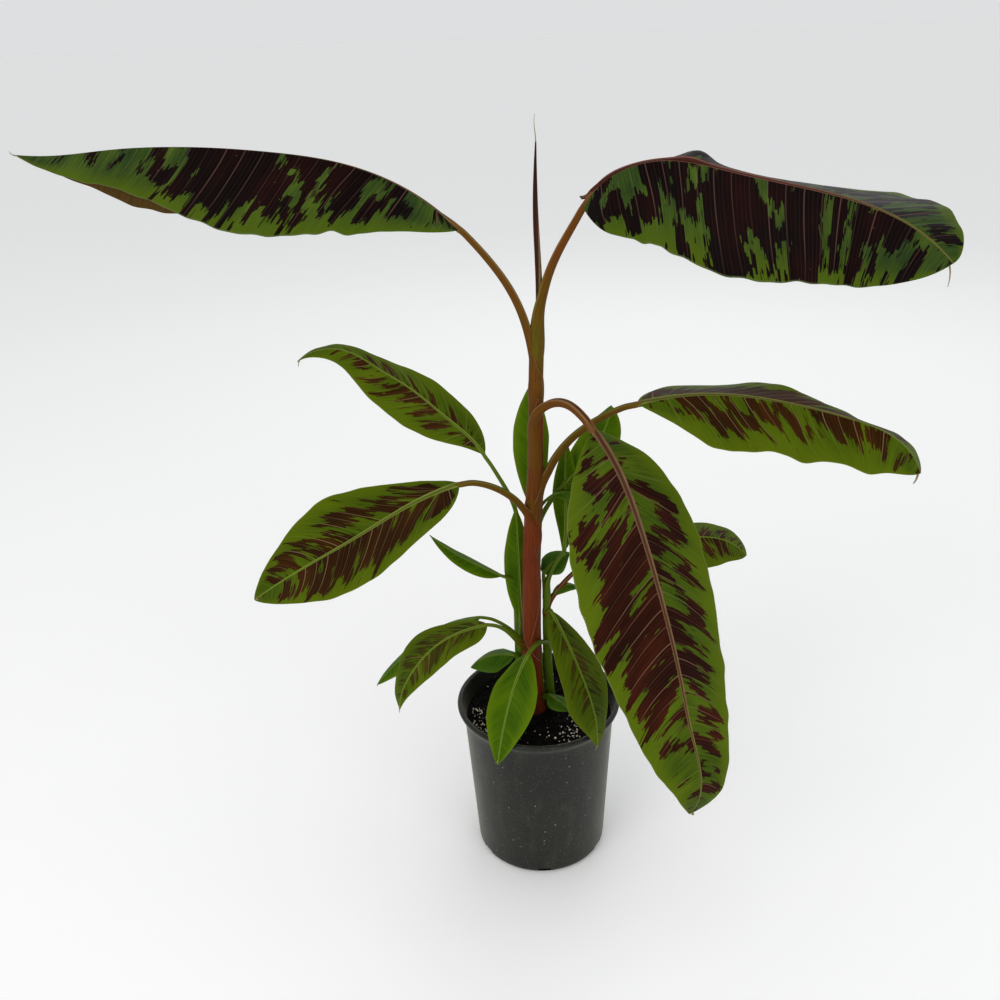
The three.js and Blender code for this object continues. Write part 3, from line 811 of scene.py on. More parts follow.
def vein_lines(paint, place_s, outward, seed, spacing, narrow_chance):
    """Side veins, one at each spacing and some of them faint, and fine veins between."""
    turns = place_s / spacing
    which = paint.math("ROUND", turns)
    off = paint.math("ABSOLUTE", turns - which) * spacing
    strong = paint.chance(which + seed).ease(0.1, 0.9, 0.12, 0.6)
    line = off.ease(0.2, 0.75, 1, 0) * strong * outward.ease(0.35, 1, 1, 0.25)
    fine = paint.math("PINGPONG", place_s, spacing / 8)
    return line, fine.ease(0, 0.4, 0.16, 0) * narrow_chance


def rib_strip(paint, place_s, rib, seed, rib_green):
    """Colour of the midrib: a strip whose grooved middle is darkened with painted shade, between lighter
    lips.
    """
    light = paint.mix(rib_green, RIB_PINK, RIB_GREEN)
    # The darker tone is painted shade, filling the middle of the groove
    deep = paint.mix(rib_green, RIB_PINK_GROOVE_SHADE, RIB_GREEN_GROOVE_SHADE)
    thread = paint.noise((place_s * 0.03, rib, seed), 3, 3)
    return paint.mix(rib.ease(0.25, 0.75) * thread.ease(0.3, 0.7, 0.6, 1), deep, light)


def leaf_material(look):
    """Blade tissue: blocks of maroon and green that follow the side veins."""
    tone = LEAF_COLOURS[look]
    paint = Paint(f"leaf_{look}", Specular_IOR_Level=0.04)
    place_s, across, seed = paint.attribute("vein")
    _, outward, rib = paint.attribute("place")
    share, under, rib_green = paint.attribute("tone")
    spacing = paint.node("Attribute", "Fac", attribute_name="spacing")
    maroon, narrow_chance = maroon_blocks(paint, place_s, across, seed, share, spacing)
    line, hair = vein_lines(paint, place_s, outward, seed, spacing, narrow_chance)

    # Green and maroon, each uneven along the strips and towards the margin
    cloud = paint.noise((place_s * 0.035, across * 0.02, seed), detail=3)
    streak = paint.noise((place_s * 0.9, across * 0.035, seed), detail=3)
    lighten = streak * 0.7 + (cloud * 1.1 - 0.5)
    green = paint.mix(lighten.ease(0.1, 0.8), tone["deep"], tone["bright"])
    green = paint.mix(outward.ease(0.45, 1.05, 0, 0.8), green, tone["margin"])
    red = paint.mix(lighten.ease(0.2, 0.85), tone["dark"], tone["brown"])
    tissue = paint.mix(maroon, green, red)

    # Veins, a pale edge and rare specks of dried water
    vein = paint.mix(maroon, tone["vein"], tone["pink"])
    tissue = paint.mix((line + hair) * maroon.ease(0, 1, 0.5, 1), tissue, vein)
    tissue = paint.mix(outward.ease(0.975, 0.995, 0, 0.6), tissue, tone["vein"])
    speck = paint.cells((place_s, across, seed), 0.16).ease(0.03, 0.05, 0.55, 0)
    tissue = paint.mix(speck * cloud.ease(0.5, 0.62), tissue, WATER_SPECK)

    # Underside: paler, with the blocks of the face showing through
    below = paint.mix(maroon, tone["under"], tone["under_red"])
    below = paint.mix(line * 0.5, below, tone["vein"])
    below = paint.mix(streak.ease(0.3, 0.8, 0, 0.35), below, tone["brown"])
    tissue = paint.mix(under, tissue, below)

    strip = rib_strip(paint, place_s, rib, seed, rib_green)
    tissue = paint.mix(rib.ease(0.98, 1.12, 1, 0), tissue, strip)
    gloss = cloud * 0.22 + (under * 0.15 + 0.38)
    grain = paint.noise((place_s, across * 0.4, seed), 1.6, 3)
    return paint.finish(tissue, gloss, grain * 0.25 + (streak * 0.5 + line * -0.35), 0.35)


def stalk_material(name, tones):
    """Stalks and sheaths, from green through olive brown to red, with a dry edge, painted shade in the
    crease beside each sheath's step, and painted shade in a petiole's channel and at a stem's foot.
    """
    paint = Paint(name, Specular_IOR_Level=0.08)
    lengthwise, angle, edge = paint.attribute("stalk")
    hue, lip, shade = paint.attribute("tone")
    fibre = paint.noise((lengthwise * 0.02, angle * 3, hue), 2.4, 3)
    cloud = paint.noise((lengthwise * 0.045, angle, 0), 1, 3)
    spread = fibre.ease(0.15, 0.85)
    green, olive, red = (paint.mix(spread, dark, light) for dark, light in tones)
    uneven = cloud * 0.5 + (hue - 0.25)
    base = paint.mix(uneven.ease(0.1, 0.9), green, olive)
    base = paint.mix(uneven.ease(1.05, 1.9), base, red)
    speck = paint.noise((lengthwise, angle * 4, hue), 1.3, 2)
    base = paint.mix(speck.ease(0.62, 0.72, 0, 0.4), base, (44, 20, 10))
    pale = paint.mix(hue.ease(0.9, 1.6), (128, 134, 44), (168, 128, 98))
    base = paint.mix(lip * 0.6, base, pale)
    base = paint.mix(edge.ease(0, 0.3) * edge.ease(0.5, 1.5, 0.5, 0), base, pale)
    # Painted shade: a thin dark band beside each sheath's stepped edge, and the tone's third value
    # darkening channels and stem feet
    step_shade = edge.ease(-3, -0.2) * edge.ease(0, 0.2, 1, 0)
    base = paint.mix(paint.math("MAXIMUM", step_shade * 0.6, shade * 0.5), base, (30, 14, 8))
    return paint.finish(base, fibre.ease(0.2, 0.8, 0.36, 0.56), fibre, 0.2)


def pot_material():
    """Grey-green moulded plastic with dust, specks and faint scuffs."""
    paint = Paint(
        "pot_plastic", Specular_IOR_Level=0.28, Sheen_Weight=0.3, Sheen_Roughness=0.3,
        Sheen_Tint=colour(236, 232, 206),
    )
    at = paint.node("TexCoord", "Object")
    x, y, z = paint.parts(at)
    cloud = paint.noise(at, 22, 4)
    base = paint.mix(cloud.ease(0.3, 0.7), (13, 15, 8), (21, 23, 14))
    film = paint.noise((x, y, z * 0.35), 60, 5)
    base = paint.mix(film.ease(0.5, 0.8, 0, 0.22), base, (84, 83, 66))
    dust = paint.noise(at, 900, 2)
    base = paint.mix(dust.ease(0.6, 0.74, 0, 0.4), base, (112, 112, 100))
    speck = paint.cells(at, 130).ease(0.06, 0.13, 1, 0)
    rare = paint.cells(at, 130, "Color").ease(0.52, 0.7)
    base = paint.mix(speck * rare * 0.6, base, (150, 150, 138))
    scratch = paint.noise((x * 3, y * 3, z), 260, 3)
    base = paint.mix(scratch.ease(0.66, 0.72, 0, 0.25), base, (110, 108, 96))
    grain = paint.noise(at, 1600, 2)
    return paint.finish(base, film * 0.3 + 0.3, cloud * 1.5 + grain, 0.08)


def soil_material():
    """Dark moist peat."""
    paint = Paint("soil", Specular_IOR_Level=0.1)
    at = paint.node("TexCoord", "Object")
    cloud = paint.noise(at, 120, 5)
    base = paint.mix(cloud.ease(0.35, 0.7), (6, 5, 4), (20, 15, 11))
    fine = paint.noise(at, 700, 4)
    base = paint.mix(fine.ease(0.58, 0.75, 0, 0.5), base, (40, 30, 21))
    return paint.finish(base, cloud.ease(0.3, 0.7, 0.75, 0.98), fine, 0.8)


def perlite_material():
    """White to cream perlite with a porous skin and peat in its hollows."""
    paint = Paint("perlite", Specular_IOR_Level=0.3)
    at = paint.node("TexCoord", "Object")
    cloud = paint.noise(at, 260, 3)
    base = paint.mix(cloud.ease(0.4, 0.62), (226, 224, 212), (214, 200, 156))
    pores = paint.noise(at, 1400, 3)
    base = paint.mix(pores.ease(0.6, 0.78, 0, 0.5), base, (120, 106, 82))
    return paint.finish(base, cloud.ease(0.3, 0.7, 0.8, 0.95), pores, 0.4)


def thread_material():
    """Dried tip threads."""
    paint = Paint("dried_thread", Specular_IOR_Level=0.3)
    lengthwise, angle, seed = paint.attribute("vein")
    band = paint.noise((lengthwise * 0.5, angle, seed), 1, 3)
    base = paint.mix(band.ease(0.3, 0.7), (150, 140, 92), (98, 84, 62))
    return paint.finish(base, band.ease(0.3, 0.7, 0.6, 0.85), band, 0.1)


# Blades


def blade_half(blade, t):
    """Half width at t: a quarter sine to the widest place and another to the tip."""
    rising = t < blade["widest"]
    rise = np.where(rising, t / blade["widest"], (1 - t) / (1 - blade["widest"]))
    power = np.where(rising, blade["blunt"][0], blade["blunt"][1])
    return blade["half"] * np.sin(math.pi / 2 * np.clip(rise, 0, 1)) ** power


def vein_rows(blade, slant):
    """Where each row of the mesh leaves the midrib and where it meets the margin.

    Rows follow the side veins, which slant towards the tip, and crowd at the foot."""
    margin = np.linspace(0, 1, MARGIN_STEPS + 1)
    lean = blade["half"] / math.tan(math.radians(slant)) / blade["length"]
    inner = margin - lean * blade_half(blade, margin) / blade["half"] * smooth(margin, 0, 0.35)
    inner = np.maximum.accumulate(np.maximum(inner, margin * 0.2))
    inner = (inner + margin * 1e-4) / (1 + 1e-4)
    rows = max(LEAST_ROWS, round(blade["length"] / ROW_STEP))
    places = np.linspace(0, 1, rows * 4)
    crowd = 1 + ROW_CROWDING * np.exp(-places * blade["length"] / CROWDED_RUN)
    reach = np.concatenate([[0], np.cumsum((crowd[1:] + crowd[:-1]) / 2)])
    start = np.interp(np.linspace(0, reach[-1], rows), reach, places)
    return start, np.interp(start, inner, margin)


def half_width(leaf, waves, side, t):
    """Half width at t with its uneven margin, at least that of the stalk or the tip."""
    blade = leaf["blade"]
    wave = 1 + MARGIN_SHARE * ripple(t * blade["length"], MARGIN_WAVES, 50 + waves)
    wave = wave * along(blade[side + "_reach"], t)
    for kinked, at, spread, share in leaf["kinks"]:
        if kinked == side:
            wave = wave + share * np.exp(-(((t - at) / spread) ** 2))
    return np.maximum(along([leaf["petiole"]["radius"][-1], TIP_HALF], t), blade_half(blade, t) * wave)


def tapered(leaf, shares, tip, t):
    """A size of the rib at t: shares of the stalk's radius, and then its size at the tip."""
    return along([share * leaf["petiole"]["radius"][-1] for share in shares] + [tip], t)


def section(leaf, side, t, y, half, rib_half, rib_place):
    """Places across and above the midrib, and the tilt, at a distance y along the face.

    The rib is a shallow channel, and from there the tissue falls away and curls."""
    blade = leaf["blade"]
    folds = 3 if blade["half"] > WIDE_HALF else 2
    rest = np.radians(along(blade[side], t))
    curl = math.radians(blade["curl"])
    first = rest + curl * 0.5 / folds
    bend = curl / half
    fall = first + bend * y
    x_web = rib_half * np.cos(rest / 2) + (np.sin(fall) - np.sin(first + bend * rib_half)) / bend
    z_web = -rib_half * np.sin(rest / 2) + (np.cos(fall) - np.cos(first + bend * rib_half)) / bend
    channel = RIB_CHANNEL * rib_half * (1 - rib_place**2)
    channel = channel - RIB_LIP * rib_half * smooth(rib_place, 0.6, 1.0)
    crest = RIB_CREST * leaf["petiole"]["radius"][-1] * (1 - smooth(t * blade["length"], 0, CREST_RUN))
    z_rib = -y * np.sin(rest / 2) - channel + crest * (1 - rib_place**2)
    in_rib = np.arange(y.shape[1]) < RIB_COLUMNS
    x = np.where(in_rib, y * np.cos(rest / 2), x_web)
    return x, np.where(in_rib, z_rib, z_web), np.where(in_rib, rest / 2 * rib_place, fall)


def relief(leaf, waves, side, t, place_s, share_out, fade):
    """Lift of the face: tissue swells between veins, waves towards the margin and bumps."""
    spacing = leaf["marks"]["spacing"]
    swell = VEIN_SWELL * spacing * (np.abs(np.sin(math.pi * place_s / spacing)) ** 0.8 - 0.5)
    ends = smooth(t, 0.0, 0.08) * (1 - smooth(t, 0.9, 1.0))
    size = leaf["blade"]["half"] / LARGE_HALF
    flutter = ripple(place_s, FLUTTER_WAVES, 90 + waves)
    sag = ripple(place_s, SAG_WAVES, 190 + waves)
    lift = ends * (swell * fade + size * (flutter * share_out**3 + sag * share_out))
    for raised, at, spread, place_out, width, rise in leaf["bumps"]:
        if raised == side:
            near = ((t - at) / spread) ** 2 + ((share_out - place_out) / width) ** 2
            lift = lift + rise * np.exp(-near)
    return lift


def thickness(leaf, t, y, rib_half, place_s, share_out, fade):
    """Thickness of the tissue with its raised veins, and the depth of the rib's keel."""
    rounding = np.sqrt(np.clip(1 - (y / (rib_half * KEEL_WIDTH)) ** 2, 0, 1))
    keel = tapered(leaf, KEEL_SHARES, KEEL_TIP, t) * rounding
    spacing = leaf["marks"]["spacing"]
    off = np.abs(place_s / spacing - np.round(place_s / spacing)) * spacing
    ridge = VEIN_RIDGE * fade * np.exp(-((off / VEIN_WIDTH) ** 2))
    return TISSUE * (0.6 + 0.4 * np.clip(1.0 - share_out, 0, 1)) + ridge, keel


def half_blade(leaf, number, side, start, end, web):
    """Upper and lower points of one half, from the midrib out, with their values."""
    blade = leaf["blade"]
    marks = leaf["marks"]
    length = blade["length"]
    hand = 1 if side == "right" else -1
    waves = number * 2 + (side == "right")
    share_out = np.concatenate([np.zeros(RIB_COLUMNS), web])[None, :]
    rib_place = np.concatenate([np.linspace(0, 1, RIB_COLUMNS), np.ones(len(web))])[None, :]
    t = start[:, None] + (end - start)[:, None] * share_out**1.15
    place_s = start[:, None] * length + 0 * t
    half = half_width(leaf, waves, side, t)
    rib_half = np.minimum(tapered(leaf, RIB_SHARES, RIB_TIP, t), half * RIB_MOST)
    y = rib_half * rib_place + (half - rib_half) * share_out
    x, z, tilt = section(leaf, side, t, y, half, rib_half, rib_place)
    fade = smooth(share_out, 0.0, 0.12) * (1 - 0.7 * smooth(share_out, 0.6, 1.0))
    lift = relief(leaf, waves, side, t, place_s, share_out, fade)

    # The blade starts just past the end of its petiole and rolls about its midrib
    spot, ahead, _, _ = Path(leaf["foot"], leaf["petiole"]).at(np.array([1.0]))
    spot, ahead, right, top = Path(spot[0] + ahead[0] * GAP, blade).at(t)
    lobe = leaf["lobe"] * smooth(share_out, 0, 0.6) * (1 - smooth(t * length, 0, LOBE_RUN))
    spot = spot - ahead * lobe[..., None]
    turn = np.radians(along(blade["roll"], t))[..., None]
    outward = right * np.cos(turn) - top * np.sin(turn)
    up = top * np.cos(turn) + right * np.sin(turn)
    face = up * np.cos(tilt)[..., None] + outward * (hand * np.sin(tilt))[..., None]
    over = spot + outward * (hand * x)[..., None] + up * z[..., None] + face * lift[..., None]
    tissue, keel = thickness(leaf, t, y, rib_half, place_s, share_out, fade)
    below = over - face * tissue[..., None] - up * keel[..., None]

    share = along(marks[side], start[:, None] + 0 * t)
    share = share - marks["fade"] * smooth(share_out, marks["border"], 1.05) + 0.1 * (0.5 - share_out)
    rib_green = np.clip(marks["rib"] + 0.5 * smooth(t, 0.55, 1.0), 0, 1)
    seed = number + (0.0 if side == "right" else 0.37)
    vein = stacked(place_s, y, seed)
    return over, below, vein, stacked(t, share_out, y / rib_half), stacked(share, 0, rib_green)


def wrapped(upper, lower):
    """Rings that run along the upper face and back along the lower one."""
    return np.concatenate([upper, lower[:, ::-1]], axis=1)


def make_blade(number, name, leaf, materials):
    """One blade as a thin closed skin, with its tip thread."""
    blade = leaf["blade"]
    start, end = vein_rows(blade, leaf["marks"]["slant"])
    columns = max(LEAST_COLUMNS, min(MOST_COLUMNS, round(blade["half"] / COLUMN_STEP)))
    web = np.append(np.linspace(0, 1, columns)[1:-1], [1 - 0.5 / max(blade["half"], 10), 1.0])
    left = half_blade(leaf, number, "left", start, end, web)
    right = half_blade(leaf, number, "right", start, end, web)
    over, below, vein, spread, tone = (
        np.concatenate([a[:, ::-1], b[:, 1:]], axis=1) for a, b in zip(left, right)
    )
    under = tone.copy()
    under[..., 1] = 1
    rings = wrapped(over, below)
    spacing = np.full(rings.shape[:2], leaf["marks"]["spacing"])
    surface = Surface(
        rings, vein=wrapped(vein, vein), place=wrapped(spread, spread), tone=wrapped(tone, under),
        spacing=spacing,
    )
    if leaf["thread"]:
        tip = over[-1].mean(axis=0) + (over[-4] - over[-1]).mean(axis=0)
        surface.add_thread(tip, leaf["thread"])
    piece = surface.build(f"leaf_{name}", materials[leaf["look"]], materials["thread"])
    kind = "maroon" if leaf["look"] == "ruddy" else leaf["look"]
    place(piece, f"blade_{kind}", f"blade_{name}")


# Petioles, rolled leaf and stems


def stem_at(name, height):
    """Centre and radius of a stem at a height."""
    x, y, z, radius = zip(*STEMS[name])
    t = np.interp(height, z, np.linspace(0, 1, len(z)))
    return stacked(along(x, t), along(y, t), height), along(radius, t)


def stem_of(foot):
    """The stem that a leaf's foot stands in, or else None."""
    for name, stations in STEMS.items():
        centre, radius = stem_at(name, foot[2])
        if foot[2] < stations[-1][2] + 6 and math.dist(centre[:2], foot[:2]) < 0.75 * radius:
            return name
    return None


def make_stalk(number, name, leaf, materials):
    """A petiole with a channelled upper side, whose foot widens and clasps its stem."""
    part = leaf["petiole"]
    length = part["length"]
    foot_radius = part["radius"][0]
    stem = stem_of(leaf["foot"])
    below = FOOT_BELOW * foot_radius if stem else 2.0
    rings = max(16, round((length + below) / STALK_STEP))
    run = np.linspace(-below, length + STALK_END, rings)[:, None]
    angle = circle(STALK_SIDES)
    from_top = np.abs(angle - math.pi / 2)
    from_top = np.minimum(from_top, CIRCLE - from_top)
    channel = CHANNEL * np.exp(-((from_top / 0.5) ** 2))
    lip = np.exp(-(((from_top - 0.78) / 0.2) ** 2))
    radius = along(part["radius"], run / length)
    spot, _, right, top = Path(leaf["foot"], part).at((run / length)[:, 0])
    free = smooth(run, -2, min(0.5 * length, FOOT_ABOVE * foot_radius))
    wide = radius * 1.25
    centre = spot
    if stem:
        axis, stem_radius = stem_at(stem, spot[:, 2])
        sink = FOOT_SINK * smooth(-run, 0.2 * below, below)
        wide = np.minimum(stem_radius[:, None] + 0.5, FOOT_WIDTH * radius) - sink
        centre = spot * free + axis * (1 - free)

    # Towards the blade the top sinks and the keel deepens, to meet the midrib
    end = smooth(run, length - END_RUN, length)
    inner = (1 - channel + 0.07 * lip) * (1 - 0.45 * smooth(run, length - 1, length + STALK_END))
    flat = np.where(np.sin(angle) > 0, 1 - 0.42 * end, 1 + 0.45 * end)
    across = np.cos(angle) * inner * (wide * (1 - free) + radius * free)
    over = np.sin(angle) * (inner * radius * free * flat + wide * (1 - free))
    ring = right[:, None] * across[..., None] + top[:, None] * over[..., None]
    hue = along(leaf["marks"]["stalk"], smooth(run, 0, 0.6 * length))
    shown = free * (1 - end)
    # The tone's third value is painted shade in the channel, where the stalk stands free of its stem and
    # short of the blade
    surface = Surface(
        centre[:, None] + ring, stalk=stacked(run + SEED_STEP * number, angle, NO_EDGE),
        tone=stacked(hue, lip * shown + 0.2 * end, channel / CHANNEL * shown),
    )
    place(surface.build(f"stalk_{name}", materials["stalk"]), "petiole", f"petiole_{name}")


def make_spear(materials):
    """The rolled leaf: a tapering roll whose outer edge winds round it."""
    t = np.linspace(0, 1, SPEAR_RINGS)[:, None]
    angle = circle(SPEAR_SIDES)
    wound = (angle - SPEAR_TURN * t + 1.1) % CIRCLE
    radius = along(SPEAR_ROLL["radius"], t) * (SPEAR_OUTER - SPEAR_WOUND * wound / CIRCLE)
    radius = radius * (1 + SPEAR_FOLD_DEPTH * np.sin(wound * SPEAR_FOLDS))
    spot, _, right, top = Path(SPEAR_FOOT, SPEAR_ROLL).at(t[:, 0])
    ring = right[:, None] * (np.cos(angle) * radius)[..., None]
    ring = ring - top[:, None] * (np.sin(angle) * radius)[..., None]
    # The third stalk value is measured from the wound edge, where the material puts a band of painted shade
    # beside the step and a pale rim
    stalk = stacked(t * SPEAR_ROLL["length"], angle, wound - 0.3)
    tone = stacked(1.1 + 0.8 * t, 0 * angle, 0)
    surface = Surface(spot[:, None] + ring, stalk=stalk, tone=tone, vein=stalk * 0)
    surface.add_thread(spot[-1] - np.array([0, 0, 3]), SPEAR_THREAD)
    place(surface.build("spear_roll", materials["spear"], materials["thread"]), "spear", "spear")


def make_stem(number, name, stations, materials):
    """A stem of wrapped sheaths, each with a stepped edge that runs down from its mouth."""
    columns = [list(column) for column in zip(*stations)]
    low = columns[2][0]
    high = columns[2][-1]
    t = np.linspace(0, 1, round((high - low) / STEM_STEP))[:, None]
    x, y, z, radius = (along(column, t) for column in columns)
    angle = circle(MAIN_STEM_SIDES if name == "main_stem" else SUCKER_SIDES, -math.pi)
    step = SHEATH_STEP * max(columns[3])
    growth = 0 * (z + angle)
    edge = growth + NO_EDGE
    hue = growth + SHEATHS[name][0][3]
    for mouth, azimuth, run, tint in SHEATHS[name]:
        turned = angle - math.radians(azimuth)
        turned = np.abs((turned + math.pi) % CIRCLE - math.pi) / math.pi
        uneven = ripple(angle / math.pi * 60, SHEATH_WAVES, mouth)
        inside = mouth - run * turned**0.85 + uneven - z
        covered = smooth(inside, 0, 1.1)
        growth = growth + step * (covered - covered.mean(axis=1, keepdims=True))
        edge = np.where(inside > -3, inside, edge)
        hue = hue * (1 - covered) + tint * covered
    ribs = STEM_RIB_HEIGHT * ripple(angle / math.pi * 100, STEM_RIBS, number)
    foot = np.exp(-np.maximum(z - low, 0) / FLARE_RUN)
    taper = 1 - 0.3 * smooth(z, high - TOP_TAPER, high)
    size = (radius + growth + ribs + STEM_FLARE * radius * foot) * taper
    rings = stacked(x + np.cos(angle) * size, y + np.sin(angle) * size, z)
    rings[0, :, 2] -= 3
    # The tone's third value darkens the stem just above the soil as painted shade at its foot; the edge
    # value places a pale rim and a band of painted shade at each sheath's step
    surface = Surface(
        rings, stalk=stacked(z + SEED_STEP * number, angle, edge), tone=stacked(hue, 0, foot),
    )
    kind = "main_stem" if name == "main_stem" else "sucker"
    place(surface.build(f"{name}_sheaths", materials["stem"]), kind, name)


# Pot and growing mix


def wall_radius(height):
    """Radius of the pot's outer wall at a height between its corner and its neck."""
    share = (height - POT_CORNER) / (POT_HEIGHT - RIM_DEPTH - POT_CORNER)
    return POT_BASE_RADIUS + (POT_NECK_RADIUS - POT_BASE_RADIUS) * share


def arc(centre, radius, first, last, count):
    """Points of radius and height on a circular arc, with angles in degrees."""
    angles = np.radians(np.linspace(first, last, count))
    return [(centre[0] + radius * math.cos(a), centre[1] + radius * math.sin(a)) for a in angles]


def pot_outline():
    """Closed outline of the pot's wall: flat underside, rounded foot and rolled rim."""
    neck = POT_HEIGHT - RIM_DEPTH
    foot = POT_BASE_RADIUS - POT_CORNER
    ring = foot - STANDING_RING
    outline = [(0.0, UNDERSIDE_RISE), (ring - 2, UNDERSIDE_RISE), (ring, 0), (foot, 0)]
    outline += arc((foot, POT_CORNER), POT_CORNER, -75, 0, 7)
    outline += [(wall_radius(h), h) for h in np.linspace(POT_CORNER + 6, neck, 22)]
    outline += [(POT_NECK_RADIUS + out, neck + up) for out, up in RIM_FLARE]
    outline += [(POT_RIM_RADIUS - inward, POT_HEIGHT - down) for inward, down in RIM_SKIRT]
    outline += arc((POT_RIM_RADIUS - RIM_BEAD, POT_HEIGHT - RIM_BEAD), RIM_BEAD, -30, 170, 12)
    outline += [(POT_MOUTH_RADIUS - 0.4, POT_HEIGHT - 6), (POT_NECK_RADIUS - POT_WALL, neck)]
    outline += [(wall_radius(h) - POT_WALL, h) for h in np.linspace(neck - 4, POT_CORNER + 3, 12)]
    return outline + [(foot - 1, POT_FLOOR), (0.0, POT_FLOOR)]


def lathe(outline, sides):
    """Closed bmesh turned from an outline that starts and ends on the axis."""
    shape = bmesh.new()
    turns = [CIRCLE * k / sides for k in range(sides)]
    rings = []
    for radius, height in outline:
        spots = [(radius * math.cos(a) * MM, radius * math.sin(a) * MM, height * MM) for a in turns]
        rings.append([shape.verts.new(spot) for spot in (spots if radius else spots[:1])])
    for lower, upper in zip(rings, rings[1:]):
        for k in range(sides):
            after = (k + 1) % sides
            corners = [lower[k % len(lower)], lower[after % len(lower)]]
            corners += [upper[after % len(upper)], upper[k % len(upper)]]
            shape.faces.new(list(dict.fromkeys(corners)))
    return shape


def notch_cutter(turn):
    """A bar with a rounded top that cuts one drain notch through the foot of the pot."""
    shape = bmesh.new()
    half = NOTCH_WIDTH / 2
    shoulder = NOTCH_HEIGHT - NOTCH_ROUND
    outline = [(half, NOTCH_FOOT), (half, shoulder)]
    outline += arc((half - NOTCH_ROUND, shoulder), NOTCH_ROUND, 10, 90, 4)
    outline += [(-across, height) for across, height in reversed(outline)]
    rings = []
    for radius in (POT_BASE_RADIUS - POT_CORNER - 5, POT_BASE_RADIUS + POT_CORNER):
        rings.append([shape.verts.new((radius * MM, a * MM, h * MM)) for a, h in outline])
    for k in range(len(outline)):
        after = (k + 1) % len(outline)
        shape.faces.new([rings[0][k], rings[0][after], rings[1][after], rings[1][k]])
    for ring in rings:
        shape.faces.new(ring)
    bmesh.ops.rotate(shape, verts=shape.verts, matrix=Matrix.Rotation(turn, 3, "Z"))
    return shape


def make_pot(materials):
    """The nursery pot, with its drain notches cut through the rounded foot."""
    pot = object_from(lathe(pot_outline(), POT_SIDES), "nursery_pot", materials["pot"])
    cutters = []
    for k in range(NOTCH_COUNT):
        turn = CIRCLE * k / NOTCH_COUNT - math.pi / 2
        cutter = object_from(notch_cutter(turn), f"cutter_{k}", materials["pot"])
        cut = pot.modifiers.new(f"notch_{k}", "BOOLEAN")
        cut.operation = "DIFFERENCE"
        cut.object = cutter
        cutters.append(cutter)
    bpy.context.view_layer.update()
    graph = bpy.context.evaluated_depsgraph_get()
    shaped = bpy.data.meshes.new_from_object(pot.evaluated_get(graph))
    pot.modifiers.clear()
    pot.data = shaped
    shaped.set_sharp_from_angle(angle=math.radians(POT_CREASE))
    for cutter in cutters:
        bpy.data.objects.remove(cutter)
    place(pot, "pot", "pot")


def soil_height(x, y):
    """Height of the mix: a low crown round the stems, uneven with crumbs."""
    fall = max(0.0, math.hypot(x, y) - SOIL_CROWN_RADIUS) / (POT_NECK_RADIUS - SOIL_CROWN_RADIUS)
    at = Vector((x, y, 0))
    rough = sum(height * noise.noise(at * fineness) for fineness, height in SOIL_ROUGHNESS)
    return SOIL_LEVEL - SOIL_CROWN * fall + rough - SOIL_SINK


def make_soil(materials):
    """The growing mix as one closed body with a rough top."""
    inside = wall_radius(SOIL_LEVEL - SOIL_CROWN) - POT_WALL - GAP
    low = POT_FLOOR + GAP
    outline = [(0.0, low), (POT_BASE_RADIUS - POT_CORNER - 2, low)]
    heights = np.linspace(POT_CORNER + 4, SOIL_LEVEL - 10, 8)
    outline += [(wall_radius(height) - POT_WALL - GAP, height) for height in heights]
    outline += [(radius, SOIL_LEVEL) for radius in np.linspace(inside, 1.0, SOIL_RINGS)]
    shape = lathe(outline + [(0.0, SOIL_LEVEL)], SOIL_SIDES)
    for vertex in shape.verts:
        if vertex.co.z > (SOIL_LEVEL - 1) * MM:
            vertex.co.z = soil_height(vertex.co.x / MM, vertex.co.y / MM) * MM
    place(object_from(shape, "growing_mix", materials["soil"]), "soil", "soil")


def scattered(count, seed, clusters, inner, outer):
    """Seeded places on the mix, some of them in clusters, and the dice that dealt them.

    They lie between the radii inner and outer."""
    dice = np.random.default_rng(seed)
    places = []
    while len(places) < count:
        if clusters and dice.random() < CLUSTER_SHARE:
            cx, cy, spread = clusters[dice.integers(len(clusters))]
            x, y = dice.normal((cx, cy), spread)
        else:
            radius = math.sqrt(dice.uniform(inner**2, outer**2))
            turn = dice.uniform(0, CIRCLE)
            x, y = radius * math.cos(turn), radius * math.sin(turn)
        if inner <= math.hypot(x, y) <= outer:
            places.append((x, y))
    return places, dice


def make_lumps(name, material, scatter, sizes, rough, divisions):
    """Many small uneven lumps lying on the mix, joined into one mesh.

    sizes and rough are the least and the most of a radius and of its unevenness."""
    places, dice = scatter
    lump = bmesh.new()
    bmesh.ops.create_icosphere(lump, subdivisions=divisions, radius=1)
    base = np.array([vertex.co for vertex in lump.verts])
    corners = np.array([[vertex.index for vertex in face.verts] for face in lump.faces])
    lump.free()
    points = []
    faces = []
    for x, y in places:
        size = dice.uniform(*sizes) * dice.uniform(0.6, 1.0)
        squash = dice.uniform(0.6, 1.0, 3)
        jitter = dice.uniform(*rough, (len(base), 1))
        turn = Matrix.Rotation(dice.uniform(0, 6.28), 3, Vector(dice.normal(size=3)))
        shape = (base * jitter * squash * size) @ np.array(turn)
        faces.append(corners + len(base) * len(points))
        points.append(shape + np.array([x, y, soil_height(x, y) + size * 0.45]))
    place(linked(name, mesh_from(name, points, faces, material)), "soil")


def make_mix_detail(materials):
    """Peat crumbs and perlite."""
    outer = wall_radius(SOIL_LEVEL) - POT_WALL - 3.0
    places = scattered(CRUMB_COUNT, seed=11, clusters=[], inner=12, outer=outer)
    make_lumps(
        "peat_crumbs", materials["soil"], places, sizes=(0.7, 2.4), rough=(0.72, 1.15), divisions=1,
    )
    places = scattered(PERLITE_COUNT, seed=12, clusters=PERLITE_CLUSTERS, inner=14, outer=outer)
    make_lumps(
        "perlite_grains", materials["perlite"], places, sizes=(0.7, 1.7), rough=(0.88, 1.08),
        divisions=2,
    )


# Stage


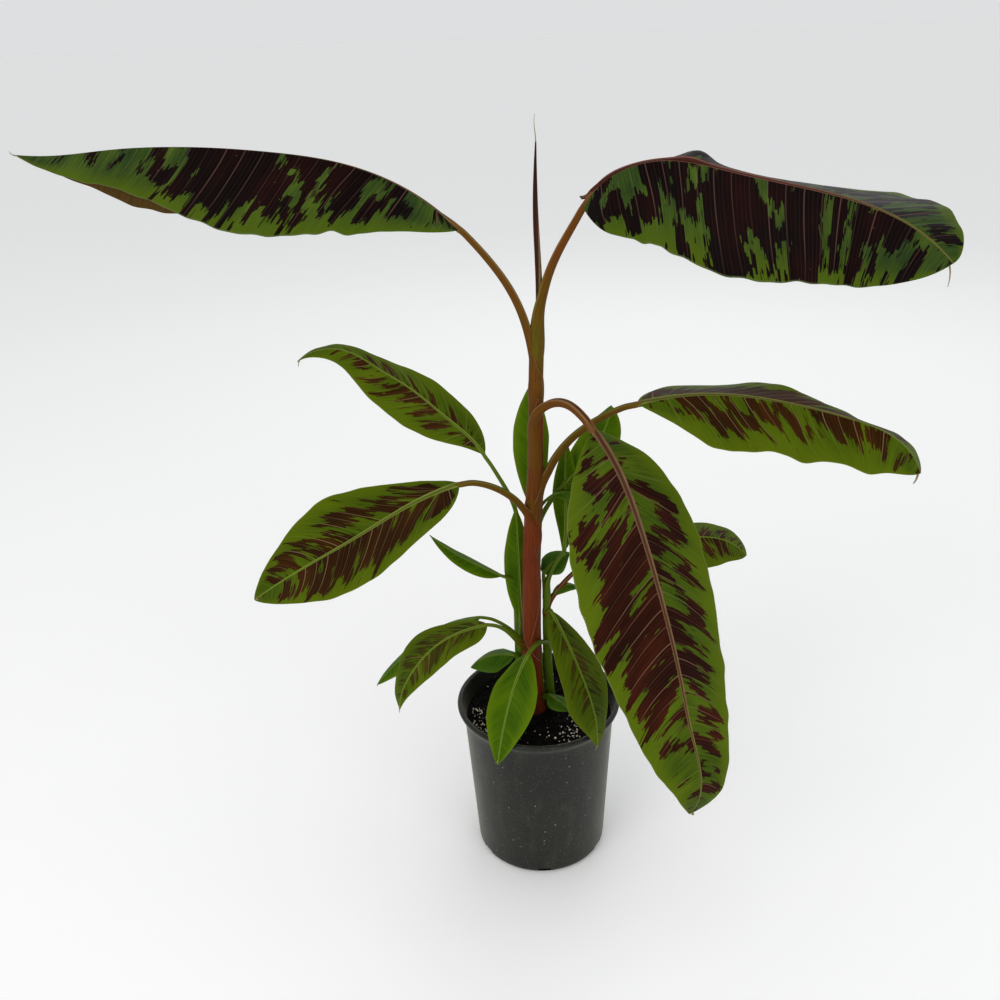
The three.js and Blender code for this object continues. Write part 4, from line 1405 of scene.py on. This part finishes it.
def make_camera():
    """The camera at the photograph's viewing angle."""
    data = bpy.data.cameras.new("camera")
    data.sensor_width = SENSOR
    data.lens = SENSOR * FOCAL_SHARE
    data.clip_start = 0.01
    data.clip_end = 100
    camera = linked("camera", data)
    tilt = Matrix.Rotation(math.radians(90 - CAMERA_PITCH), 4, "X")
    roll = Matrix.Rotation(-math.radians(CAMERA_ROLL), 4, "Z")
    camera.matrix_world = Matrix.Translation(Vector(CAMERA_PLACE) * MM) @ tilt @ roll
    bpy.context.scene.camera = camera


def make_light(name, spot, size, power, tint):
    """A large square light aimed at the middle of the plant."""
    data = bpy.data.lights.new(name, "AREA")
    data.size = size
    data.energy = power
    data.color = tint
    light = linked(name, data)
    light.location = spot
    light.rotation_euler = (Vector(LIGHTS_AIM) - Vector(spot)).to_track_quat("-Z", "Y").to_euler()


def make_stage():
    """Plain pale floor, soft studio light and an even pale surround."""
    shape = bmesh.new()
    bmesh.ops.create_circle(shape, cap_ends=True, radius=FLOOR_RADIUS, segments=96)
    paint = Paint("floor", Specular_IOR_Level=0.2)
    grain = paint.noise(paint.node("TexCoord", "Object"), 6.0, 2.0)
    material = paint.finish(paint.mix(grain, (254, 254, 253), (255, 255, 255)), 0.85)
    floor = object_from(shape, "floor", material)
    for light in LIGHTS:
        make_light(*light)
    world = bpy.data.worlds.new("surround")
    bpy.context.scene.world = world
    world.use_nodes = True
    sky = world.node_tree.nodes["Background"]
    sky.inputs["Color"].default_value = colour(240, 241, 242)
    sky.inputs["Strength"].default_value = SURROUND
    bpy.context.scene.view_settings.view_transform = "Standard"


make_camera()
make_stage()
materials = {look: leaf_material(look) for look in LEAF_COLOURS}
materials.update(
    thread=thread_material(),
    stalk=stalk_material("petioles", STALK_TONES),
    stem=stalk_material("stems", STALK_TONES),
    spear=stalk_material("rolled_leaf", SPEAR_TONES),
    pot=pot_material(),
    soil=soil_material(),
    perlite=perlite_material(),
)
make_pot(materials)
make_soil(materials)
make_mix_detail(materials)
for stem_number, (stem_name, stem_stations) in enumerate(STEMS.items(), 1):
    make_stem(stem_number, stem_name, stem_stations, materials)
for leaf_number, (leaf_name, leaf_values) in enumerate(LEAVES.items(), 1):
    make_stalk(leaf_number, leaf_name, leaf_values, materials)
    make_blade(leaf_number, leaf_name, leaf_values, materials)
make_spear(materials)
